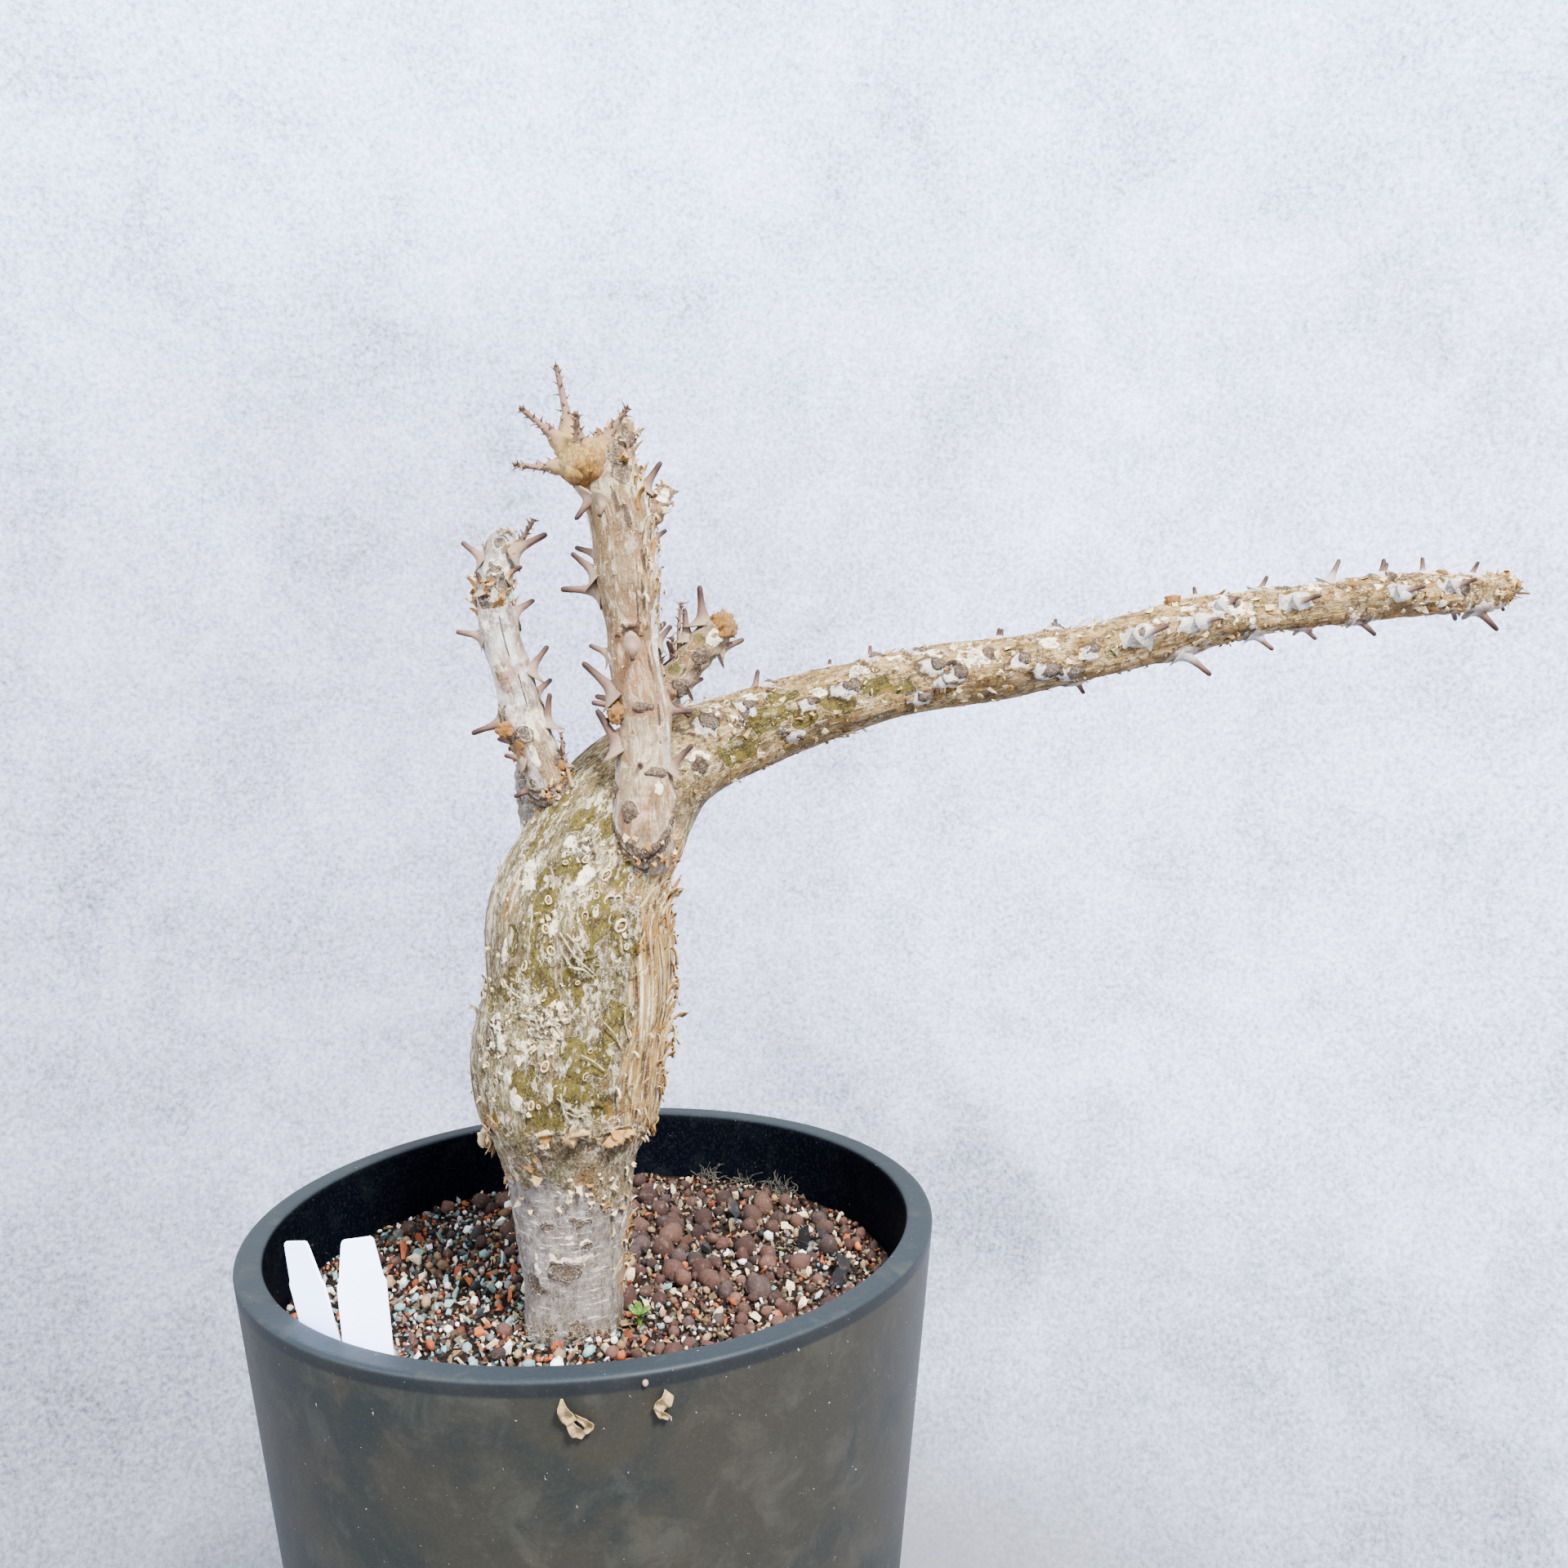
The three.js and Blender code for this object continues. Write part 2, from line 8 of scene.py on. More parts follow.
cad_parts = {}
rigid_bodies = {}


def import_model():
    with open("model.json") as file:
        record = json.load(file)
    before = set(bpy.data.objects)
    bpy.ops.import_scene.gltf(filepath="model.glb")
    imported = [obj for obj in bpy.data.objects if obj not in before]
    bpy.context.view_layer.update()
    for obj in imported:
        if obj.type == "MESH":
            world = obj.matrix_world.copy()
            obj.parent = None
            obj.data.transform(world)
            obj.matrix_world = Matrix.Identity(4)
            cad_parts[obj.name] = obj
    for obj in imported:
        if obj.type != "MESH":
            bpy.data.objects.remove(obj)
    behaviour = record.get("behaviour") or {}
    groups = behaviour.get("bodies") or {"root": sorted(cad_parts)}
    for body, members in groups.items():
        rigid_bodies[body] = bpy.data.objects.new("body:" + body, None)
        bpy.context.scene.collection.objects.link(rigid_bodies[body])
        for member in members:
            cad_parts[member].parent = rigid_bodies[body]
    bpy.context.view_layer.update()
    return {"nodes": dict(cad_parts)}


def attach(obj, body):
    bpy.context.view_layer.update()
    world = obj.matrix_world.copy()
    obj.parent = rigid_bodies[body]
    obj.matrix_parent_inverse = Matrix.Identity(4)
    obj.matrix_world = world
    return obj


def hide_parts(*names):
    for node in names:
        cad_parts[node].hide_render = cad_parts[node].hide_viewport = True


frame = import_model()
mm = 0.001  # every list below is in millimetres, and the meshes are in metres
print("frame loaded:", len(frame["nodes"]), "nodes")


# Numbers that vary over space, worked out for whole arrays at once

def cellValue(cell, seed):
    x, y, z = (cell[..., i] for i in range(3))
    mixed = (x * 73856093) ^ (y * 19349663) ^ (z * 83492791) ^ (seed * 40503)
    mixed = ((mixed ^ (mixed >> 13)) * 1274126177) & 0xFFFFFFFF
    mixed = ((mixed ^ (mixed >> 15)) * 668265263) & 0xFFFFFFFF
    return ((mixed >> 8) & 0xFFFF) / 65535


def softNoise(points, size, seed):
    spot = points / np.asarray(size, float)
    cell = np.floor(spot).astype(np.int64)
    part = spot - cell
    part = part * part * (3 - 2 * part)
    total = 0
    for corner in np.ndindex(2, 2, 2):
        weight = np.prod(np.abs(1 - np.array(corner) - part), axis=-1)
        total = total + weight * cellValue(cell + np.array(corner), seed)
    return 2 * total - 1


def layered(points, size, seed, layers=3):
    total, strength, reach = 0, 1, 0
    for layer in range(layers):
        total = total + strength * softNoise(points, np.asarray(size, float) / 2 ** layer,
                                             seed + 17 * layer)
        reach += strength
        strength *= 0.55
    return total / reach


def ease(low, high, value):
    part = np.clip((value - low) / (high - low), 0, 1)
    return part * part * (3 - 2 * part)


def peak(value, middle, width):
    return np.exp(-((value - middle) / width) ** 2)


# Meshes from arrays: points in millimetres, faces as arrays of corners, fields as values at the points

def makeMesh(name, points, faces, fields=None, smooth=True):
    mesh = bpy.data.meshes.new(name)
    points = np.asarray(points, float).reshape(-1, 3)
    mesh.vertices.add(len(points))
    mesh.vertices.foreach_set("co", (points * mm).astype(np.float32).ravel())
    faces = [np.asarray(group) for group in faces if len(group)]
    if faces:
        corners = np.concatenate([group.ravel() for group in faces])
        sizes = np.concatenate([np.full(len(group), group.shape[1]) for group in faces])
        mesh.loops.add(len(corners))
        mesh.loops.foreach_set("vertex_index", corners.astype(np.int32))
        mesh.polygons.add(len(sizes))
        mesh.polygons.foreach_set("loop_start",
                                  np.concatenate([[0], np.cumsum(sizes)[:-1]]).astype(np.int32))
        mesh.polygons.foreach_set("use_smooth", np.full(len(sizes), smooth))
    for label, values in (fields or {}).items():
        values = np.asarray(values, np.float32)
        wide = values.ndim == 2
        layer = mesh.attributes.new(label, "FLOAT_VECTOR" if wide else "FLOAT", "POINT")
        layer.data.foreach_set("vector" if wide else "value", values.ravel())
    mesh.update(calc_edges=True)
    mesh.validate()
    return mesh


def makePiece(name, mesh, material=None, collection=None):
    piece = bpy.data.objects.new(name, mesh)
    (collection or bpy.context.scene.collection).objects.link(piece)
    if material:
        mesh.materials.clear()
        mesh.materials.append(material)
    return piece


def keepPiece(piece, slotName, *nodes):
    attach(piece, "root")
    if nodes:
        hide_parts(*nodes)
    return piece


def pileUp(parts):  # several (points, faces, fields) into one
    points, faces, fields, start = [], {}, {}, 0
    for partPoints, partFaces, partFields in parts:
        points.append(partPoints)
        for group in partFaces:
            if len(group):
                faces.setdefault(group.shape[1], []).append(group + start)
        for label, values in partFields.items():
            fields.setdefault(label, []).append(values)
        start += len(partPoints)
    joinedFields = {label: np.concatenate(values) for label, values in fields.items()}
    return np.concatenate(points), [np.concatenate(group) for group in faces.values()], joinedFields


def fuse(name, parts, material, slotName, *nodes):  # several parts become one piece
    return keepPiece(makePiece(name, makeMesh(name, *pileUp(parts)), material), slotName, *nodes)


def gridFaces(rows, sides, closeEnds=True):
    row, side = np.meshgrid(np.arange(rows - 1), np.arange(sides), indexing="ij")
    here = (row * sides + side).ravel()
    beside = (row * sides + (side + 1) % sides).ravel()
    quads = np.stack([here, here + sides, beside + sides, beside], 1)
    if not closeEnds:
        return [quads]
    count = rows * sides
    ring = np.arange(sides)
    after = (ring + 1) % sides
    startFan = np.stack([np.full(sides, count), ring, after], 1)
    endFan = np.stack([np.full(sides, count + 1), count - sides + after, count - sides + ring], 1)
    return [quads, np.concatenate([startFan, endFan])]


# a closed thin sheet: a grid of points, and the same again for its underside
def sheetFaces(rows, columns):
    here = (np.arange(rows - 1)[:, None] * columns + np.arange(columns - 1)[None]).ravel()
    quads = np.stack([here, here + columns, here + columns + 1, here + 1], 1)
    count = rows * columns
    border = [*range(columns - 1), *range(columns - 1, count - 1, columns)]
    border = np.array(border + [*range(count - 1, count - columns, -1),
                                *range(count - columns, 0, -columns)])
    after = np.roll(border, -1)
    return [quads, quads[:, ::-1] + count, np.stack([border, after, after + count, border + count], 1)]


def turned(profile, sides):  # a profile of (radius, height) turned round Z
    angles = np.arange(sides) / sides * 2 * np.pi
    profile = np.array(profile, float)
    across, heights = profile[:, :1], np.repeat(profile[:, 1:], sides, 1)
    return np.stack([across * np.cos(angles), across * np.sin(angles), heights], -1)


class Limb:  # a line of [x, y, z, radius] points, with the directions across it
    def __init__(self, points):
        self.points = np.array(points, float)
        chord = self.points[-1, :3] - self.points[0, :3]
        upright = abs(chord[1]) > 0.8 * np.linalg.norm(chord)
        self.facing = np.array([0, 0, 1] if upright else [0, -1, 0])
        self.shares = np.linspace(0, 1, 2001)
        self.trace = self.line(self.shares)[:, :3]
        self.arcs = np.concatenate([[0], np.cumsum(np.linalg.norm(np.diff(self.trace, axis=0), axis=1))])

    def line(self, shares):
        count, known = len(self.points), self.points
        points = np.vstack([2 * known[0] - known[1], known, 2 * known[-1] - known[-2]])
        spot = np.clip(np.asarray(shares, float), 0, 1) * (count - 1)
        index = np.minimum(spot.astype(int), count - 2)
        part = (spot - index)[:, None]
        before, here, after, beyond = (points[index + i] for i in range(4))
        startSlope, endSlope = 0.5 * (after - before), 0.5 * (beyond - here)
        square = 3 * (after - here) - 2 * startSlope - endSlope
        cube = 2 * (here - after) + startSlope + endSlope
        return here + startSlope * part + square * part ** 2 + cube * part ** 3

    def at(self, shares):
        shares = np.asarray(shares, float)
        spot = self.line(shares)
        step = 1e-4
        along = (self.line(np.minimum(shares + step, 1)) - self.line(np.maximum(shares - step, 0)))[:, :3]
        along /= np.linalg.norm(along, axis=1)[:, None]
        front = self.facing - along * (along @ self.facing)[:, None]
        front /= np.linalg.norm(front, axis=1)[:, None]
        return spot[:, :3], along, front, np.cross(along, front), spot[:, 3]

    def arcWhere(self, axis, value):  # axis 0 is x, 2 is z
        return float(np.interp(value, self.trace[:, axis], self.arcs))

    def valueAt(self, axis, shares):
        return np.interp(shares, self.shares, self.trace[:, axis])[:, None]

    def skinAt(self, share, degrees):  # the point on its skin, the way out and the way along there
        centre, along, front, side, radius = (value[0] for value in self.at([share]))
        out = side * math.cos(math.radians(degrees)) + front * math.sin(math.radians(degrees))
        return centre + radius * out, out, along

    def skinWhere(self, axis, value, degrees):
        return self.skinAt(float(np.interp(value, self.trace[:, axis], self.shares)), degrees)


def loft(limb, first, last, rows, sides, relief=None):
    shares = np.linspace(first, last, rows)
    angles = np.arange(sides) / sides * 2 * np.pi
    centre, along, front, side, radius = limb.at(shares)
    out = side[:, None] * np.cos(angles)[None, :, None] + front[:, None] * np.sin(angles)[None, :, None]
    arc = np.interp(shares, limb.shares, limb.arcs)
    radius = np.maximum(radius, 0.1)[:, None]
    grain = np.stack([
        radius * np.cos(angles)[None], radius * np.sin(angles)[None], np.repeat(arc[:, None], sides, 1),
    ], -1)
    lift, fields = relief(limb, shares, arc, angles, radius, grain) if relief else (0, {})
    points = (centre[:, None] + (radius + lift)[..., None] * out).reshape(-1, 3)
    fields = {label: values.reshape(len(points), -1).squeeze() for label, values in fields.items()}
    fields["grain"] = grain.reshape(-1, 3)
    points = np.vstack([points, centre[0], centre[-1]])
    for label, values in fields.items():
        fields[label] = np.concatenate([values, values[:1], values[-sides:-sides + 1]])
    return points, gridFaces(rows, sides), fields


def plainLoft(line, rows, sides):
    points, faces, fields = loft(Limb(line), 0, 1, rows, sides)
    return points, faces, {}


# Shader helpers: a node's outputs are values that + - * and ** work on

drawing = {}  # the node tree that the helpers add to


class Value:
    def __init__(self, socket):
        self.socket = socket

    def __add__(self, other):
        return mathOf("ADD", self, other)

    def __radd__(self, other):
        return mathOf("ADD", other, self)

    def __sub__(self, other):
        return mathOf("SUBTRACT", self, other)

    def __rsub__(self, other):
        return mathOf("SUBTRACT", other, self)

    def __mul__(self, other):
        return mathOf("MULTIPLY", self, other)

    def __pow__(self, other):
        return mathOf("POWER", self, other)

    def __abs__(self):
        return mathOf("ABSOLUTE", self)


class Outputs:  # a node's outputs, read by name or number
    def __init__(self, node):
        self.node = node

    def __getitem__(self, key):
        return Value(self.node.outputs[key])


def feed(target, value):
    if isinstance(value, Value):
        drawing["tree"].links.new(value.socket, target)
    elif hasattr(target.default_value, "__len__") and len(target.default_value) == len(value) + 1:
        target.default_value = (*value, 1)
    else:
        target.default_value = value


def addNode(kind, sockets=None, **settings):
    made = drawing["tree"].nodes.new(kind)
    for key, value in settings.items():
        setattr(made, key, value)
    for socket, value in (sockets or {}).items():
        feed(made.inputs[socket], value)
    return Outputs(made)


def mathOf(operation, a, b=0):
    return addNode("ShaderNodeMath", {0: a, 1: b}, operation=operation)[0]


def largest(*values):
    found = values[0]
    for value in values[1:]:
        found = mathOf("MAXIMUM", found, value)
    return found


def mixOf(share, a, b):
    return addNode("ShaderNodeMix", {0: share, 6: a, 7: b}, data_type="RGBA")[2]


def rampOf(value, low, high):
    return addNode("ShaderNodeMapRange", {0: value, 1: low, 2: high}, interpolation_type="SMOOTHSTEP")[0]


def noiseOf(vector, scale, detail=3, roughness=0.55, distortion=0):
    sockets = {"Vector": vector, "Scale": scale, "Detail": detail, "Roughness": roughness,
               "Distortion": distortion}
    return addNode("ShaderNodeTexNoise", sockets)[0]


def vectorMath(operation, vector, other=(0, 0, 0), scale=1):
    return addNode("ShaderNodeVectorMath", {0: vector, 1: other, 3: scale}, operation=operation)[0]


def stretched(vector, factors):
    return vectorMath("MULTIPLY", vector, factors)


def placeInMm():
    return stretched(addNode("ShaderNodeTexCoord")["Object"], (1000, 1000, 1000))


def axesOf(vector):
    return addNode("ShaderNodeSeparateXYZ", {0: vector})


def fieldOf(label, output="Fac"):
    return addNode("ShaderNodeAttribute", attribute_name=label)[output]


def bumpOf(height, distance, strength):
    return addNode("ShaderNodeBump", {"Height": height, "Distance": distance, "Strength": strength})[0]


def newMaterial(name, roughness=0.8, specular=0.3):
    material = bpy.data.materials.new(name)
    material.use_nodes = True
    drawing["tree"] = material.node_tree
    shader = next(node for node in material.node_tree.nodes if node.type == "BSDF_PRINCIPLED").inputs
    shader["Roughness"].default_value = roughness
    shader["Specular IOR Level"].default_value = specular
    return material, shader


def paint(shader, colour, height, distance, strength):
    feed(shader["Base Color"], colour)
    feed(shader["Normal"], bumpOf(height, distance, strength))


def mottled(name, roughness, specular, grain, edges, colours, bump):  # one noise mixes two colours
    material, shader = newMaterial(name, roughness, specular)
    patch = noiseOf(placeInMm(), *grain)
    paint(shader, mixOf(rampOf(patch, *edges), *colours), patch, *bump)
    return material, shader


def coated(colour, layers):  # each layer is (share, colour)
    for share, over in layers:
        colour = mixOf(share, colour, over)
    return colour


def newGroup(name, kind, inputs, outputs):  # inputs are {label: (type, value)} and outputs {label: type}
    group = bpy.data.node_groups.new(name, kind)
    for label, (socketType, value) in inputs.items():
        socket = group.interface.new_socket(label, in_out="INPUT", socket_type="NodeSocket" + socketType)
        if value is not None:
            socket.default_value = value
    for label, socketType in outputs.items():
        group.interface.new_socket(label, in_out="OUTPUT", socket_type="NodeSocket" + socketType)
    drawing["tree"] = group
    return group, Outputs(group.nodes.new("NodeGroupInput")), group.nodes.new("NodeGroupOutput").inputs


def useGroup(group, **sockets):
    made = drawing["tree"].nodes.new("ShaderNodeGroup")
    made.node_tree = group
    for label, value in sockets.items():
        feed(made.inputs[label], value)
    return Outputs(made)


def raggedEdgeGroup():  # a soft mask becomes a torn, crisp one
    group, given, result = newGroup("raggedEdge", "ShaderNodeTree", {
        "Mask": ("Float", 0.5), "Vector": ("Vector", None), "Scale": ("Float", 0.8), "Tear": ("Float", 0.5),
        "Softness": ("Float", 0.06),
    }, {"Mask": "Float", "Rim": "Float"})
    torn = noiseOf(given["Vector"], given["Scale"], 4, 0.6)
    value = given["Mask"] + (torn - 0.5) * given["Tear"]
    high = 0.5 + given["Softness"]
    mask = rampOf(value, 0.5 - given["Softness"], high)
    feed(result["Mask"], mask)
    feed(result["Rim"], mask * (1 - rampOf(value, high + 0.01, high + 0.09)))
    return group


def flecksGroup():  # small irregular specks that cover more or less of a surface
    group, given, result = newGroup("flecks", "ShaderNodeTree", {
        "Vector": ("Vector", None), "Scale": ("Float", 1), "Cover": ("Float", 0.3),
        "Softness": ("Float", 0.03),
    }, {"Mask": "Float"})
    value = noiseOf(given["Vector"], given["Scale"], 3, 0.65, 0.3)
    low = 0.72 - given["Cover"] * 0.4
    feed(result["Mask"], rampOf(value, low, low + given["Softness"]))
    return group


def longGrainGroup():  # streaks and hairline cracks that run with the wood
    group, given, result = newGroup("longGrain", "ShaderNodeTree", {
        "Vector": ("Vector", None), "Scale": ("Float", 0.6), "Stretch": ("Vector", (1, 1, 0.12)),
        "Crack": ("Float", 0.02),
    }, {"Streak": "Float", "Crack": "Float", "Fine": "Float"})
    streak = noiseOf(stretched(given["Vector"], given["Stretch"]), given["Scale"], 5, 0.62, 0.25)
    feed(result["Streak"], streak)
    line = 1 - rampOf(abs(streak - 0.5), 0, given["Crack"])
    where = rampOf(noiseOf(given["Vector"], given["Scale"] * 0.3, 2), 0.48, 0.62)
    feed(result["Crack"], line * where)
    feed(result["Fine"], noiseOf(given["Vector"], given["Scale"] * 3, 4, 0.7))
    return group


# overlapping scraps of thin bark, each with its own shade, and the torn lines between them
def paperScrapsGroup():
    group, given, result = newGroup("paperScraps", "ShaderNodeTree", {
        "Vector": ("Vector", None), "Scale": ("Float", 0.35), "Stretch": ("Vector", (1, 1, 0.45)),
        "Tear": ("Float", 2),
    }, {"Shade": "Float", "Line": "Float"})
    torn = addNode("ShaderNodeTexNoise",
                   {"Vector": given["Vector"], "Scale": 0.8, "Detail": 4, "Roughness": 0.66})
    shift = vectorMath("SCALE", vectorMath("SUBTRACT", torn[1], (0.5, 0.5, 0.5)), scale=given["Tear"])
    spot = stretched(vectorMath("ADD", given["Vector"], shift), given["Stretch"])
    cells = addNode("ShaderNodeTexVoronoi", {"Vector": spot, "Scale": given["Scale"]}, feature="F1")
    edges = addNode("ShaderNodeTexVoronoi", {"Vector": spot, "Scale": given["Scale"]},
                    feature="DISTANCE_TO_EDGE")
    feed(result["Shade"], addNode("ShaderNodeSeparateColor", {0: cells["Color"]})[0])
    where = rampOf(noiseOf(given["Vector"], 0.33, 2), 0.46, 0.58)
    feed(result["Line"], (1 - rampOf(edges["Distance"], 0.015, 0.07)) * where)
    return group


raggedEdge, flecks = raggedEdgeGroup(), flecksGroup()
longGrain, paperScraps = longGrainGroup(), paperScrapsGroup()


def flecksOn(vector, scale, cover, softness):
    return useGroup(flecks, Vector=vector, Scale=scale, Cover=cover, Softness=softness)["Mask"]


# Camera: a hand's height above the rim, half a metre in front of the pot

cameraLook = {"place": (0, -434.6, 366.9), "focal": 30.87, "sensor": 36, "turn": 8.63, "tip": 3.83,
              "roll": -1.35}


def makeCamera(look):
    turn, tip, roll = (math.radians(look[key]) for key in ("turn", "tip", "roll"))
    ahead = np.array([math.sin(turn) * math.cos(tip), math.cos(turn) * math.cos(tip), -math.sin(tip)])
    level = np.array([math.cos(turn), -math.sin(turn), 0])
    upright = np.cross(level, ahead)
    right = math.cos(roll) * level + math.sin(roll) * upright
    up = -math.sin(roll) * level + math.cos(roll) * upright
    data = bpy.data.cameras.new("camera")
    data.lens, data.sensor_width, data.sensor_fit = look["focal"], look["sensor"], "HORIZONTAL"
    data.clip_start, data.clip_end = 0.01, 20
    camera = bpy.data.objects.new("camera", data)
    bpy.context.scene.collection.objects.link(camera)
    matrix = Matrix([[right[i], up[i], -ahead[i], look["place"][i] * mm]
                     for i in range(3)] + [[0, 0, 0, 1]])
    camera.matrix_world = matrix
    bpy.context.scene.camera = camera
    return camera


makeCamera(cameraLook)


# Stage: a floor that curves up into a wall all round, pale near the pot and further out glowing with
# painted light, and an even sky with one broad light

stageLook = {
    "floorReach": 1150, "wallRadius": 2400, "corner": 900, "wallHeight": 3600, "sides": 96,
    "floor": (0.173, 0.18, 0.2), "lowLeft": (0.94, 1, 1.26), "lowRight": (1.36, 1.48, 1.9),
    "middleLeft": (1.85, 2.02, 2.8), "middleRight": (2.75, 3.1, 4.2), "high": (3.2, 3.8, 5.6),
    "centre": (0, -0.4346, 0.3669), "sky": (0.93, 0.97, 1.08), "skyStrength": 1.66,
}


def backdropMaterial(look):
    material, shader = newMaterial("paleBackdrop", 0.95, 0)
    spot = addNode("ShaderNodeTexCoord")["Object"]
    axes = axesOf(spot)
    flat = mathOf("SQRT", axes["X"] ** 2 + axes["Y"] ** 2)
    # the plaster is laid out as seen from one place, so that it keeps its grain where the floor curves away
    seen = vectorMath("NORMALIZE", vectorMath("SUBTRACT", spot, look["centre"]))
    way = axesOf(seen)
    broad = noiseOf(seen, 3.2, 4, 0.6, 0.5)
    medium = noiseOf(seen, 13, 6, 0.7, 0.5)
    fine = noiseOf(seen, 330, 2, 0.7)
    # painted light: the wall and the far floor glow, brighter high up and towards the right and darker low
    # down at the left, in place of lamplight falling on them
    height = way["Z"] + (broad - 0.5) * 0.35
    right = rampOf(way["X"] + (broad - 0.5) * 0.3, -0.05, 0.4)
    low = mixOf(right, look["lowLeft"], look["lowRight"])
    middle = mixOf(right, look["middleLeft"], look["middleRight"])
    lowered = height + (right - 1) * 0.07  # darker sooner on the left
    glow = mixOf(rampOf(lowered, -0.58, -0.14), low, middle)
    glow = mixOf(rampOf(height, 0.05, 0.42), glow, look["high"])
    patchy = 1 + ((medium - 0.5) * 1.2 + (fine - 0.5) * 1.9) + (broad - 0.5) * 0.35
    glow = vectorMath("SCALE", glow, scale=patchy)
    far = rampOf(flat, 0.12, 0.34)
    black = (0, 0, 0)
    feed(shader["Base Color"], mixOf(far, look["floor"], black))
    feed(shader["Emission Color"], mixOf(far, black, glow))
    shader["Emission Strength"].default_value = 1
    return material


def roundSheet(name, profile, sides, material):
    return makePiece(name, makeMesh(name, turned(profile, sides), gridFaces(len(profile), sides, False)),
                     material)


def makeStage(look):
    material = backdropMaterial(look)
    inner = roundSheet("stageFloor", [(look["floorReach"], 0), (0.1, 0)], look["sides"], material)
    turn = np.linspace(0, math.pi / 2, 24)
    rise = [(look["floorReach"], 0)]
    for angle in turn:
        rise.append((look["wallRadius"] - look["corner"] * (1 - math.sin(angle)),
                     look["corner"] * (1 - math.cos(angle))))
    rise.append((look["wallRadius"], look["wallHeight"]))
    outer = roundSheet("stageWall", rise[::-1], look["sides"], material)
    outer.visible_diffuse = outer.visible_glossy = outer.visible_shadow = outer.visible_transmission = False
    world = bpy.data.worlds.new("sky")
    world.use_nodes = True
    bpy.context.scene.world = world
    background = world.node_tree.nodes["Background"]
    background.inputs["Color"].default_value = (*look["sky"], 1)
    background.inputs["Strength"].default_value = look["skyStrength"]


def softLight(name, place, aim, size, power, colour):
    data = bpy.data.lights.new(name, "AREA")
    data.shape, data.size, data.energy, data.color = "DISK", size, power, colour
    light = bpy.data.objects.new(name, data)
    bpy.context.scene.collection.objects.link(light)
    light.location = place
    light.rotation_euler = (Vector(aim) - Vector(place)).to_track_quat("-Z", "Y").to_euler()
    light.visible_camera = False
    return light


makeStage(stageLook)
softLight("brightSky", (0.7, -1.35, 2), (0.05, 0, 0.3), 0.55, 292, (1, 0.985, 0.955))
softLight("leftSky", (-1.5, -0.9, 1.3), (0, 0, 0.3), 1.3, 63, (0.95, 0.98, 1))
print("camera, stage and lights made")


# Pot: thick-walled, dark, matt and dusty, with a flat rim and four drain holes

potLook = {
    "rimRadius": 110, "height": 200, "wall": 8.6, "lean": 0.108, "floor": 9, "edge": 1.5, "sides": 240,
    "drainRadius": 5, "drainRing": 45, "drainCount": 4, "wobble": 0.16,
    "face": (0.023, 0.0213, 0.0163), "faceDark": (0.013, 0.016, 0.015), "rim": (0.013, 0.019, 0.025),
    # the inside colours are painted shade: the pot's hollow is set far darker than the same clay outside
    "band": (0.0057, 0.008, 0.011), "inside": (0.00053, 0.00093, 0.0027), "dust": (0.063, 0.06, 0.049),
    "speck": (0.42, 0.43, 0.44), "soot": (0.006, 0.006, 0.006), "insideDust": (0.004, 0.0055, 0.0075),
}


def potRadius(look, height):
    return look["rimRadius"] - look["lean"] * (look["height"] - height)


# from the centre of the underside, up the outside, over the rim and down to the floor
def potProfile(look):
    top, edge, wall, floor = look["height"], look["edge"], look["wall"], look["floor"]
    outer = [(0.05, 0)] + [(float(r), 0) for r in np.linspace(12, potRadius(look, 0) - 2, 8)]
    outer += [(potRadius(look, 0) - 0.6, 0.15), (potRadius(look, 0) + 0.02, 0.9),
              (potRadius(look, 1.6), 1.6)]
    outer += [(potRadius(look, float(z)), float(z)) for z in np.linspace(4, top - 3, 52)]
    corner = np.linspace(0, math.pi / 2, 6)
    rim = potRadius(look, top)
    outer += [(rim - 0.16 - edge * (1 - math.cos(a)), top - edge + edge * math.sin(a)) for a in corner]
    inner = rim - wall
    outer += [(float(r), top) for r in np.linspace(rim - edge - 1.2, inner + edge + 1.2, 4)]
    outer += [(inner + edge - edge * math.sin(a), top - edge * (1 - math.cos(a))) for a in corner]
    outer += [(potRadius(look, float(z)) - wall, float(z)) for z in np.linspace(top - 4, floor + 2.5, 30)]
    outer += [(potRadius(look, floor) - wall - 0.7, floor + 0.6),
              (potRadius(look, floor) - wall - 2.5, floor)]
    outer += [(float(r), floor) for r in np.linspace(70, 10, 6)] + [(0.05, floor)]
    return np.array(outer)


